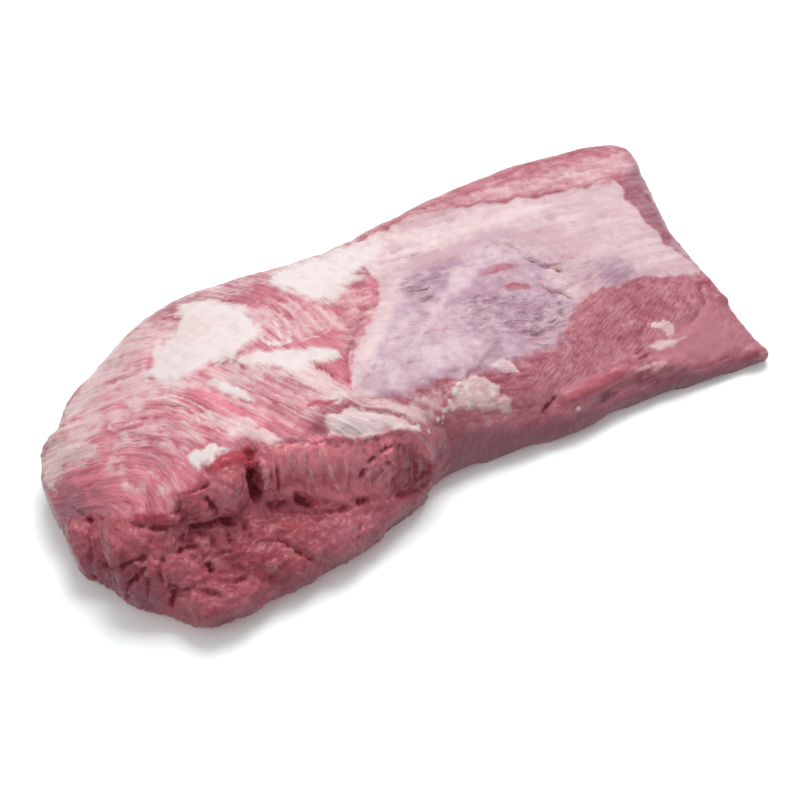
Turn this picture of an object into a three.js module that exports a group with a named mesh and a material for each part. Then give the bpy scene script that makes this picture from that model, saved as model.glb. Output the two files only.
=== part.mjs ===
// A raw beef brisket, point end: one boneless slab of meat, thick and torn at the point end,
// thin and cut straight at the flat end. Millimetres. +X runs from the point end to the flat end,
// +Y from the near long side to the far one, and the meat rests on Z = 0.
import * as THREE from "three";
import { ImprovedNoise } from "three/addons/math/ImprovedNoise.js";

// The plan outline, as the four sides that meet at the slab's blunt corners.
const NEAR_SIDE = [[-190, -103], [-160, -112], [-120, -111], [-80, -100], [-45, -92], [-14, -84],
  [22, -86], [66, -92], [110, -89], [150, -93], [185, -97], [212, -97]];
const FLAT_END = [[212, -97], [208, -75], [205, -35], [207, 0], [216, 38], [228, 70], [238, 103]];
const FAR_SIDE = [[-163, 79], [-124, 92], [-70, 91], [-15, 93], [35, 106], [85, 117], [135, 119],
  [185, 117], [220, 113], [238, 103]];
const POINT_END = [[-190, -103], [-218, -80], [-230, -42], [-233, -5], [-225, 28], [-205, 59], [-163, 79]];

// The thickness of the slab at stations along its length: near rim, middle and far rim.
const THICKNESS = [
  { x: -232, near: 38, middle: 44, far: 42 },
  { x: -185, near: 50, middle: 63, far: 59 },
  { x: -130, near: 64, middle: 75, far: 60 },
  { x: -75, near: 63, middle: 76, far: 58 },
  { x: -30, near: 50, middle: 66, far: 55 },
  { x: 30, near: 34, middle: 51, far: 49 },
  { x: 90, near: 24, middle: 43, far: 44 },
  { x: 150, near: 15, middle: 38, far: 39 },
  { x: 232, near: 8, middle: 30, far: 32 },
];

// How the walls stand, at stations along each side: the height of the belly, how far the top rim
// lies inside the outline, and the hollow, from 0, a rounded shoulder, to 1, a scooped shelf.
const NEAR_WALL = [
  { at: -190, belly: 14, rim: 44, hollow: 0.35 },
  { at: -165, belly: 15, rim: 55, hollow: 0.6 },
  { at: -130, belly: 16, rim: 54, hollow: 0.7 },
  { at: -80, belly: 16, rim: 38, hollow: 0.5 },
  { at: -40, belly: 16, rim: 24, hollow: 0.15 },
  { at: 20, belly: 12, rim: 30, hollow: 0.1 },
  { at: 90, belly: 8, rim: 16, hollow: 0 },
  { at: 212, belly: 4, rim: 8, hollow: 0 },
];
const FAR_WALL = [
  { at: -163, belly: 16, rim: 27, hollow: 0 },
  { at: -20, belly: 14, rim: 22, hollow: 0 },
  { at: 90, belly: 12, rim: 16, hollow: 0.1 },
  { at: 230, belly: 10, rim: 8, hollow: 0.1 },
];
const POINT_WALL = [
  { at: -103, belly: 14, rim: 26, hollow: 0.2 },
  { at: -60, belly: 15, rim: 32, hollow: 0.1 },
  { at: 0, belly: 16, rim: 30, hollow: 0 },
  { at: 79, belly: 16, rim: 26, hollow: 0 },
];
const FLAT_WALL = [
  { at: -97, belly: 4, rim: 6, hollow: 0 },
  { at: 0, belly: 12, rim: 7, hollow: 0.1 },
  { at: 103, belly: 10, rim: 10, hollow: 0.1 },
];

// How far the foot lies inside the outline, how much of a thin edge its belly may take, how wide
// two walls blend where they meet and how fast, and how flat the slab is across its middle.
const FOOT_INSET = 9;
const BELLY_SHARE = 0.45;
const CORNER_WIDTH = 4;
const CORNER_POWER = -3;
const CROSS_POWER = 2.2;

// Where the muscles bulge through the skin: the line along the crest of each, the reach of the
// swell to either side, and its height.
const SWELLS = [
  { name: "flap", reach: 28, height: 7, line: [[-114, -66, 62], [-84, -76, 56], [-60, -80, 52]] },
  { name: "flap end", reach: 23, height: 12, line: [[-60, -80, 50], [-46, -83, 46]] },
  { name: "flap tip", reach: 16, height: 12, line: [[-44, -78, 52], [-38, -86, 42]] },
  { name: "torn knuckle", reach: 21, height: 9, line: [[-166, -66, 60], [-158, -72, 56]] },
  { name: "torn heel", reach: 17, height: 10, line: [[-146, -64, 62], [-147, -72, 52]] },
  { name: "nose", reach: 27, height: 13, line: [[-178, -102, 14], [-164, -105, 18]] },
  { name: "nose shoulder", reach: 17, height: 8, line: [[-170, -92, 32], [-152, -90, 36]] },
  { name: "cheek", reach: 17, height: 9, line: [[-193, -80, 38]] },
  { name: "corner lobe", reach: 24, height: 9, line: [[-212, -58, 38], [-202, -70, 40]] },
  { name: "corner foot", reach: 20, height: 8, line: [[-208, -80, 18]] },
  { name: "end lobe", reach: 20, height: 5, line: [[-226, -42, 20]] },
  { name: "under muscle", reach: 34, height: 12, line: [[-140, -92, 24], [-96, -96, 20], [-62, -90, 18]] },
];

// Seams and folds pressed into the skin: the line of each, which is laid on the skin, its reach to
// either side, and how hard it is pressed.
const SEAMS = [
  { name: "under the flap", reach: 15, depth: 32,
    line: [[-166, -76, 51], [-147, -78, 46], [-120, -80, 42], [-98, -88, 38], [-80, -92, 36]] },
  { name: "under the flap end", reach: 12, depth: 18,
    line: [[-80, -92, 36], [-61, -94, 32], [-40, -94, 28], [-27, -86, 24]] },
  { name: "cleft", reach: 10, depth: 28, line: [[-129, -55, 74], [-131, -66, 58], [-134, -78, 45]] },
  { name: "knuckle fold", reach: 9, depth: 12, line: [[-160, -66, 66], [-157, -76, 52]] },
  { name: "cheek fold", reach: 11, depth: 20,
    line: [[-204, -72, 47], [-186, -86, 48], [-173, -92, 42], [-166, -97, 33]] },
  { name: "pit", reach: 11, depth: 24, line: [[-172, -95, 37]] },
  { name: "end fold", reach: 11, depth: 19, line: [[-214, -34, 47], [-218, -51, 36], [-222, -64, 16]] },
  { name: "corner fold", reach: 9, depth: 10, line: [[-206, -78, 34], [-214, -86, 10]] },
  { name: "nose crease", reach: 10, depth: 17,
    line: [[-200, -95, 20], [-186, -97, 33], [-175, -97, 36], [-163, -100, 30]] },
  { name: "heel crease", reach: 9, depth: 11, line: [[-138, -86, 36], [-123, -94, 28], [-110, -108, 10]] },
  { name: "top valley", reach: 17, depth: 3, line: [[-127, -19, 75], [-110, -45, 75], [-94, -66, 70]] },
  { name: "notch between the muscles", reach: 11, depth: 5,
    line: [[-24, 23, 64], [-28, 3, 64], [-43, -13, 67], [-54, -32, 68]] },
  { name: "flat fold", reach: 9, depth: 5, line: [[64, -72, 32], [54, -78, 27], [44, -82, 20]] },
];

// The skin's slight unevenness: how far apart its dips lie and how deep they are.
const UNEVENNESS = { spacing: 26, depth: 2.2 };

// The lattice on which the skin is found: its planes lie close together where the meat is torn,
// at the point end and the near side, and far apart elsewhere.
const LATTICE = {
  x: { from: -248, finer: -20, to: 248, fine: 4.8, coarse: 8.4 },
  y: { from: -134, finer: -44, to: 136, fine: 4.4, coarse: 8.2 },
  z: { from: -2.2, finer: 92, to: 92, fine: 4.4, coarse: 4.4 },
};
// Straight stretches to a side of the plan and to a quarter turn of the walls' profile, how far in
// a profile runs, how near the slab's skin its relief is worked out, and the depth that a lattice
// point gets where it fills a pinch.
const OUTLINE_STEPS = 48;
const PROFILE_STEPS = 7;
const PROFILE_END = 300;
const RELIEF_REACH = 40;
const PINCH_FILLING = 0.3;

// How a seam's line is laid on the skin: the rounds, the step that finds the slope and the least
// slope that counts, and the spacing of the points on the laid line.
const LAYING_ROUNDS = 6;
const LAYING_STEP = 0.5;
const LEAST_SLOPE = 0.3;
const SEAM_SPACING = 8;

const noise = new ImprovedNoise();
const smooth = (t) => t * t * (3 - 2 * t);
const clamp = (t, low = 0, high = 1) => Math.min(high, Math.max(low, t));
const mix = (a, b, t) => a + (b - a) * t;

function outlineOf(points) {
  return new THREE.SplineCurve(points.map(([x, y]) => new THREE.Vector2(x, y))).getSpacedPoints(OUTLINE_STEPS);
}

const SIDES = {
  near: outlineOf(NEAR_SIDE),
  flat: outlineOf(FLAT_END),
  far: outlineOf(FAR_SIDE),
  point: outlineOf(POINT_END),
};
const OUTLINE = [...SIDES.near, ...SIDES.flat, ...[...SIDES.far].reverse(), ...[...SIDES.point].reverse()];

// How far a point of the plane lies from a row of points joined by straight stretches.
function distanceToRow(x, y, row) {
  let least = Infinity;
  for (let i = 1; i < row.length; i++) {
    const [a, b] = [row[i - 1], row[i]];
    const [dx, dy] = [b.x - a.x, b.y - a.y];
    const length = dx * dx + dy * dy;
    const t = length > 0 ? clamp(((x - a.x) * dx + (y - a.y) * dy) / length) : 0;
    least = Math.min(least, Math.hypot(x - a.x - t * dx, y - a.y - t * dy));
  }
  return least;
}

// Whether a point of the plane lies inside a ring of points, by the sides it crosses on its way out.
function isInside(x, y, ring) {
  let inside = false;
  for (let i = 0, j = ring.length - 1; i < ring.length; j = i++) {
    const [a, b] = [ring[i], ring[j]];
    const crosses = a.y > y !== b.y > y && x < ((b.x - a.x) * (y - a.y)) / (b.y - a.y) + a.x;
    if (crosses) inside = !inside;
  }
  return inside;
}

// The value of one field of a table of stations at a place, on a smooth curve through its rows.
function stationValue(rows, key, field, place) {
  const slope = (i) => {
    const [low, high] = [rows[Math.max(0, i - 1)], rows[Math.min(rows.length - 1, i + 1)]];
    return (high[field] - low[field]) / (high[key] - low[key]);
  };
  const at = clamp(place, rows[0][key], rows.at(-1)[key]);
  const i = Math.max(1, rows.findIndex((row) => row[key] >= at));
  const [low, high] = [rows[i - 1], rows[i]];
  const span = high[key] - low[key];
  const t = (at - low[key]) / span;
  const leaving = slope(i - 1) * span * t * (1 - t) * (1 - t);
  const arriving = slope(i) * span * t * t * (t - 1);
  return mix(low[field], high[field], smooth(t)) + leaving + arriving;
}

// What the plan and the tables say at one place: the inset from the outline, positive inside it,
// the full thickness, and the wall's belly, rim and hollow, blended round the corners.
function planAt(x, y) {
  const away = Object.fromEntries(Object.entries(SIDES).map(([side, row]) => [side, distanceToRow(x, y, row)]));
  const inset = Math.min(...Object.values(away)) * (isInside(x, y, OUTLINE) ? 1 : -1);
  const across = away.near / (away.near + away.far);
  const [near, middle, far] = ["near", "middle", "far"].map((field) => stationValue(THICKNESS, "x", field, x));
  const thickness = mix(middle, across < 0.5 ? near : far, Math.pow(Math.abs(2 * across - 1), CROSS_POWER));
  const walls = [
    [NEAR_WALL, x, away.near],
    [FAR_WALL, x, away.far],
    [POINT_WALL, y, away.point],
    [FLAT_WALL, y, away.flat],
  ].map(([rows, place, distance]) => [rows, place, Math.pow(distance + CORNER_WIDTH, CORNER_POWER)]);
  const total = walls.reduce((sum, wall) => sum + wall[2], 0);
  const blend = (field) =>
    walls.reduce((sum, [rows, place, weight]) => sum + (weight * stationValue(rows, "at", field, place)) / total, 0);
  return { inset, thickness, belly: blend("belly"), rim: blend("rim"), hollow: blend("hollow") };
}

// The profile of the slab at one place, as inset and height: under the foot, round the belly, up
// the wall to the rim and in over the top face.
function profileOf({ thickness, belly, rim, hollow }) {
  const low = Math.min(belly, BELLY_SHARE * thickness);
  const profile = [new THREE.Vector2(PROFILE_END, 0)];
  for (let i = PROFILE_STEPS; i > 0; i--) {
    const angle = ((i / PROFILE_STEPS) * Math.PI) / 2;
    profile.push(new THREE.Vector2(FOOT_INSET * (1 - Math.cos(angle)), low * (1 - Math.sin(angle))));
  }
  for (let i = 0; i <= PROFILE_STEPS; i++) {
    const angle = ((i / PROFILE_STEPS) * Math.PI) / 2;
    const inset = mix(1 - Math.cos(angle), Math.sin(angle), hollow);
    const rise = mix(Math.sin(angle), 1 - Math.cos(angle), hollow);
    profile.push(new THREE.Vector2(inset * rim, mix(low, thickness, rise)));
  }
  profile.push(new THREE.Vector2(PROFILE_END, thickness));
  return profile;
}

// How far a point lies below the plain slab's skin, negative outside it.
function depthInSlab(inset, z, profile) {
  return distanceToRow(inset, z, profile) * (isInside(inset, z, profile) ? 1 : -1);
}

// How far a point lies from a line in space through one or more points.
function distanceToLine(p, line) {
  const nearest = new THREE.Vector3();
  let least = p.distanceTo(line[0]);
  for (let i = 1; i < line.length; i++) {
    new THREE.Line3(line[i - 1], line[i]).closestPointToPoint(p, true, nearest);
    least = Math.min(least, nearest.distanceTo(p));
  }
  return least;
}

const bump = (distance, reach) => Math.pow(Math.max(0, 1 - Math.pow(distance / reach, 2)), 2);
const pointsOf = (line) => line.map((at) => new THREE.Vector3(...at));
const swells = SWELLS.map((swell) => ({ ...swell, line: pointsOf(swell.line) }));

// How far the swells and the unevenness lift the skin at a point.
function liftAt(p) {
  const [x, y, z] = p.clone().divideScalar(UNEVENNESS.spacing);
  const lifts = swells.map(({ line, reach, height }) => height * bump(distanceToLine(p, line), reach));
  return Math.max(...lifts) + UNEVENNESS.depth * noise.noise(x, y, z);
}

function depthUnderLiftedSkin(p) {
  const place = planAt(p.x, p.y);
  return depthInSlab(place.inset, p.z, profileOf(place)) + liftAt(p);
}

// The point of the lifted skin that a point near it goes to, straight towards the skin.
function laidOnSkin(p) {
  const at = p.clone();
  for (let round = 0; round < LAYING_ROUNDS; round++) {
    const slope = new THREE.Vector3();
    for (const axis of ["x", "y", "z"]) {
      const [low, high] = [at.clone(), at.clone()];
      low[axis] -= LAYING_STEP;
      high[axis] += LAYING_STEP;
      slope[axis] = (depthUnderLiftedSkin(high) - depthUnderLiftedSkin(low)) / (2 * LAYING_STEP);
    }
    at.addScaledVector(slope, -depthUnderLiftedSkin(at) / Math.max(slope.lengthSq(), LEAST_SLOPE));
  }
  return at;
}

// A seam's line laid on the lifted skin, with a point every few millimetres.
function laidSeam(seam) {
  const points = pointsOf(seam.line);
  const line = [laidOnSkin(points[0])];
  for (let i = 1; i < points.length; i++) {
    const steps = Math.ceil(points[i].distanceTo(points[i - 1]) / SEAM_SPACING);
    for (let n = 1; n <= steps; n++) line.push(laidOnSkin(points[i - 1].clone().lerp(points[i], n / steps)));
  }
  return { ...seam, line };
}
const seams = SEAMS.map(laidSeam);

// How far the skin stands out of the plain slab at a point.
function reliefAt(p) {
  return liftAt(p) - Math.max(...seams.map(({ line, reach, depth }) => depth * bump(distanceToLine(p, line), reach)));
}

// The planes of the lattice along one axis.
function planesOf({ from, finer, to, fine, coarse }) {
  const planes = [from];
  while (planes.at(-1) < to) planes.push(planes.at(-1) + (planes.at(-1) < finer ? fine : coarse));
  return planes;
}

const CORNERS = [[0, 0, 0], [1, 0, 0], [0, 1, 0], [1, 1, 0], [0, 0, 1], [1, 0, 1], [0, 1, 1], [1, 1, 1]];

// Whether the chosen corners of a cell all hang together along its edges.
function hangTogether(chosen) {
  const found = chosen.slice(0, 1);
  for (const n of found)
    found.push(...[n ^ 1, n ^ 2, n ^ 4].filter((m) => chosen.includes(m) && !found.includes(m)));
  return found.length === chosen.length;
}

// Fills the lattice points where the skin would meet itself at an edge or a corner of a cell.
function closePinches(depths) {
  let pinched = true;
  while (pinched) {
    pinched = false;
    for (let i = 0; i < depths.length - 1; i++)
      for (let j = 0; j < depths[i].length - 1; j++)
        for (let k = 0; k < depths[i][j].length - 1; k++) {
          const depthOf = (n) => depths[i + CORNERS[n][0]][j + CORNERS[n][1]][k + CORNERS[n][2]];
          const corners = CORNERS.map((_, n) => n);
          const full = corners.filter((n) => depthOf(n) > 0);
          const empty = corners.filter((n) => depthOf(n) <= 0);
          if (hangTogether(full) && hangTogether(empty)) continue;
          const filled = empty.filter((n) => k > 0 || n > 3).sort((m, n) => depthOf(n) - depthOf(m))[0];
          const [a, b, c] = CORNERS[filled];
          depths[i + a][j + b][k + c] = PINCH_FILLING;
          pinched = true;
        }
  }
}

// The depth of every lattice point below the skin, negative outside it.
function depthsOn(planes) {
  const depths = planes.x.map((x) =>
    planes.y.map((y) => {
      const place = planAt(x, y);
      const profile = profileOf(place);
      return planes.z.map((z) => {
        const slab = depthInSlab(place.inset, z, profile);
        if (Math.abs(slab) > RELIEF_REACH) return Math.min(slab, z);
        return Math.min(slab + reliefAt(new THREE.Vector3(x, y, z)), z);
      });
    })
  );
  closePinches(depths);
  return (i, j, k) => depths[i]?.[j]?.[k] ?? -RELIEF_REACH;
}

const AXES = [[1, 0, 0], [0, 1, 0], [0, 0, 1]];

// The skin through the lattice: one vertex in each cell that it crosses, in the middle of the
// cell's crossings, and one quad round each edge that it crosses. The foot's rim lies at z = 0.
function skinOf(planes, depthAt) {
  const positions = [];
  const quads = [];
  const vertexOfCell = new Map();
  const pointAt = (i, j, k) => new THREE.Vector3(planes.x[i], planes.y[j], planes.z[k]);

  function vertexIn(i, j, k) {
    const cell = [i, j, k].join();
    if (vertexOfCell.has(cell)) return vertexOfCell.get(cell);
    const middle = new THREE.Vector3();
    let crossings = 0;
    AXES.forEach((axis, n) => {
      const [across, up] = [AXES[(n + 1) % 3], AXES[(n + 2) % 3]];
      for (const [p, q] of [[0, 0], [0, 1], [1, 0], [1, 1]]) {
        const start = [i, j, k].map((c, m) => c + p * across[m] + q * up[m]);
        const end = start.map((c, m) => c + axis[m]);
        const [a, b] = [depthAt(...start), depthAt(...end)];
        if (a > 0 === b > 0) continue;
        middle.add(pointAt(...start).lerp(pointAt(...end), a / (a - b)));
        crossings++;
      }
    });
    middle.divideScalar(crossings);
    if (k === 0) middle.z = 0;
    vertexOfCell.set(cell, positions.push(middle) - 1);
    return positions.length - 1;
  }

  for (let i = 0; i < planes.x.length - 1; i++)
    for (let j = 0; j < planes.y.length - 1; j++)
      for (let k = 0; k < planes.z.length - 1; k++)
        AXES.forEach((axis, n) => {
          const a = depthAt(i, j, k) > 0;
          const b = depthAt(i + axis[0], j + axis[1], k + axis[2]) > 0;
          const isUnderFoot = n === 2 && k === 0;
          if (a === b || isUnderFoot) return;
          const [across, up] = [AXES[(n + 1) % 3], AXES[(n + 2) % 3]];
          const around = [[0, 0], [1, 0], [1, 1], [0, 1]].map(([p, q]) =>
            vertexIn(...[i, j, k].map((c, m) => c - p * across[m] - q * up[m]))
          );
          quads.push(a ? around : around.reverse());
        });
  return { positions, quads };
}

// The faces that close the foot, inside the loop of edges that only one quad has.
function footOf(positions, quads) {
  const next = new Map();
  const key = (a, b) => `${a},${b}`;
  const edges = new Set();
  const sides = quads.flatMap((quad) => quad.map((a, n) => [a, quad[(n + 1) % 4]]));
  sides.forEach(([a, b]) => edges.add(key(a, b)));
  sides.filter(([a, b]) => !edges.has(key(b, a))).forEach(([a, b]) => next.set(b, a));
  const loop = [next.keys().next().value];
  while (next.get(loop.at(-1)) !== loop[0]) loop.push(next.get(loop.at(-1)));
  const plan = loop.map((n) => new THREE.Vector2(positions[n].x, positions[n].y));
  const faces = THREE.ShapeUtils.triangulateShape(plan, []);
  return faces.map(([p, q, r]) => [loop[r], loop[q], loop[p]]);
}

// Cuts a quad along the shorter of its two diagonals.
function trianglesOf([p, q, r, s], positions) {
  const across = positions[p].distanceTo(positions[r]) <= positions[q].distanceTo(positions[s]);
  return across ? [[p, q, r], [p, r, s]] : [[q, r, s], [q, s, p]];
}

function meatGeometry() {
  const planes = { x: planesOf(LATTICE.x), y: planesOf(LATTICE.y), z: planesOf(LATTICE.z) };
  const { positions, quads } = skinOf(planes, depthsOn(planes));
  const triangles = quads.flatMap((quad) => trianglesOf(quad, positions)).concat(footOf(positions, quads));
  const geometry = new THREE.BufferGeometry();
  geometry.setAttribute("position", new THREE.Float32BufferAttribute(positions.flatMap((p) => p.toArray()), 3));
  geometry.setIndex(triangles.flat());
  geometry.computeVertexNormals();
  return geometry;
}

// Moves the mesh so that the middle of its underside is at the origin.
function centre(geometry) {
  geometry.computeBoundingBox();
  const middle = geometry.boundingBox.getCenter(new THREE.Vector3());
  return geometry.translate(-middle.x, -middle.y, 0);
}

const meat = new THREE.MeshStandardMaterial({ color: 0xc06a76, roughness: 0.5, metalness: 0 });
const brisket = new THREE.Mesh(centre(meatGeometry()), meat);
brisket.name = "brisket";

const group = new THREE.Group();
group.add(brisket);
export default group;
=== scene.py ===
"""Looks of a raw beef brisket, point end: the meat, a plain pale studio and the photograph's camera."""
import logging
import math
from collections.abc import Iterator
from dataclasses import dataclass, field
from enum import Enum

import bpy
import numpy as np
from mathutils import Matrix, Vector
from mathutils.bvhtree import BVHTree


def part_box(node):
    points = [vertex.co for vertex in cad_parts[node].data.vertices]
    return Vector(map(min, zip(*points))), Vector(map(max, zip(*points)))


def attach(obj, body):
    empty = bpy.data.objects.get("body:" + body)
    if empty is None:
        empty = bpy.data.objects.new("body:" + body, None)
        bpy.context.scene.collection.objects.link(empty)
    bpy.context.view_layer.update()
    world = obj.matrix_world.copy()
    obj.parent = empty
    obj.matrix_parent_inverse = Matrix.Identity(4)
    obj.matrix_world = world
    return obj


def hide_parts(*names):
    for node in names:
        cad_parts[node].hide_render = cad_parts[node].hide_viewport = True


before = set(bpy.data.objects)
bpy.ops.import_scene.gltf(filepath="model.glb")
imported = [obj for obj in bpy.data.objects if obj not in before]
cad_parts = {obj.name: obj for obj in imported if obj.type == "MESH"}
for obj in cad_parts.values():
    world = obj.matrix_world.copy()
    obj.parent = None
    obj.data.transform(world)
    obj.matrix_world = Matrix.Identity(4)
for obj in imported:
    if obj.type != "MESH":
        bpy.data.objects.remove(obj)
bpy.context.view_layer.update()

log = logging.getLogger("brisket")

MM = 0.001
SEED = 11
NOISE_CELLS = 256
WHITE = (1.0, 1.0, 1.0, 1.0)

# A line or an outline holds the x and the y of one pixel of the photograph after another.
Pixel = tuple[float, float]
Line = list[float]
Array = np.ndarray
Paint = dict[str, Array]
Socket = bpy.types.NodeSocket


class Tissue(Enum):
    """What a patch of skin is made of, or how it is tinted or marked."""

    FAT = "fat"
    FILM = "film"
    SILVER = "silver"
    TORN = "torn"
    DUSK = "dusk"
    LINED = "lined"
    BLOOM = "bloom"
    SHEET = "sheet"
    WRINKLED = "wrinkled"
    STROKED = "stroked"
    SMOOTH = "smooth"


@dataclass(frozen=True)
class PhotoView:
    """The photograph's camera in the part's own frame, in metres where nothing else is said."""

    azimuth_deg: float = -28.5
    elevation_deg: float = 49.125
    distance: float = 0.871
    target: tuple[float, float, float] = (-0.0135, -0.013, 0.0)
    lens_mm: float = 63.0
    sensor_mm: float = 36.0
    frame_px: float = 800.0

    @property
    def focal_px(self) -> float:
        """The focal length in pixels of the photograph."""
        return self.frame_px * self.lens_mm / self.sensor_mm

    @property
    def pixel_mm(self) -> float:
        """The size on the meat of one pixel, in millimetres."""
        return self.distance / self.focal_px / MM

    def axes(self) -> Array:
        """Works out how the camera is turned.

        Returns:
            Its right, up and backward directions, one to a row.
        """
        turn = math.radians(self.azimuth_deg)
        lift = math.radians(self.elevation_deg)
        back = np.array([math.sin(turn) * math.cos(lift), -math.cos(turn) * math.cos(lift), math.sin(lift)])
        right = np.array([math.cos(turn), math.sin(turn), 0.0])
        return np.array([right, np.cross(back, right), back])

    def place(self) -> Array:
        """Where the camera stands, in metres."""
        return np.array(self.target) + self.axes()[2] * self.distance

    def project(self, points: Array) -> Array:
        """Finds the pixels that points show at.

        Args:
            points: Points in metres, one to a row.

        Returns:
            Pixels of the photograph, one to a row.
        """
        seen = (points - self.place()) @ self.axes().T
        scale = self.focal_px / -seen[:, 2]
        middle = self.frame_px / 2
        return np.stack([middle + seen[:, 0] * scale, middle - seen[:, 1] * scale], axis=1)

    def ray(self, pixel: Pixel) -> Vector:
        """Finds the direction in which the camera sees a pixel.

        Args:
            pixel: The pixel of the photograph.

        Returns:
            The direction, one unit long.
        """
        middle = self.frame_px / 2
        right, up, back = self.axes()
        x = (pixel[0] - middle) / self.focal_px
        y = (middle - pixel[1]) / self.focal_px
        return Vector(x * right + y * up - back).normalized()

    def add_camera(self) -> bpy.types.Object:
        """Adds the camera and makes it the scene's own.

        Returns:
            The camera.
        """
        data = bpy.data.cameras.new("camera")
        data.lens = self.lens_mm
        data.sensor_width = self.sensor_mm
        data.clip_start = 0.01
        camera = bpy.data.objects.new("camera", data)
        bpy.context.scene.collection.objects.link(camera)
        turned = Matrix([list(row) for row in self.axes().T]).to_4x4()
        camera.matrix_world = Matrix.Translation(Vector(self.place())) @ turned
        bpy.context.scene.camera = camera
        return camera


@dataclass(frozen=True)
class Fold:
    """A crease or a ridge of the meat, drawn on the photograph and laid on the skin.

    Reach, to either side, and depth are in millimetres, and a ridge's depth is negative. Blood is the
    painted shade, dark red, in its bottom, and fat how white its crest is, partly fat and partly painted
    highlight, from 0 to 1.
    """

    name: str
    line: Line
    reach: float
    depth: float
    blood: float = 0.0
    fat: float = 0.0


@dataclass(frozen=True)
class Patch:
    """A stretch of skin of one tissue, outlined on the photograph.

    Share is how much of the tissue shows well inside it, which doesn't count for the fat and the
    torn face, and a share below 0 takes away what the patches of that tissue before it have laid.
    Edge is half the width of the border and rise how far the patch stands proud, in millimetres.
    """

    name: str
    outline: Line
    share: float = 1.0
    edge: float = 1.0
    rise: float = 0.0


@dataclass(frozen=True)
class Vein:
    """A thin line or a spot of fat, film or blood, drawn on the photograph, that narrows to its ends.

    Its half width is in millimetres. One with blood is red and one with film is pale, both the more
    so the higher the value, and one with neither is fat.
    """

    name: str
    line: Line
    half_width: float
    blood: float = 0.0
    film: float = 0.0


@dataclass(frozen=True)
class Crumbs:
    """A cluster of small loose lumps of fat inside an outline drawn on the photograph.

    Size is the usual radius of a lump, in millimetres.
    """

    name: str
    outline: Line
    count: int
    size: float
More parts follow.
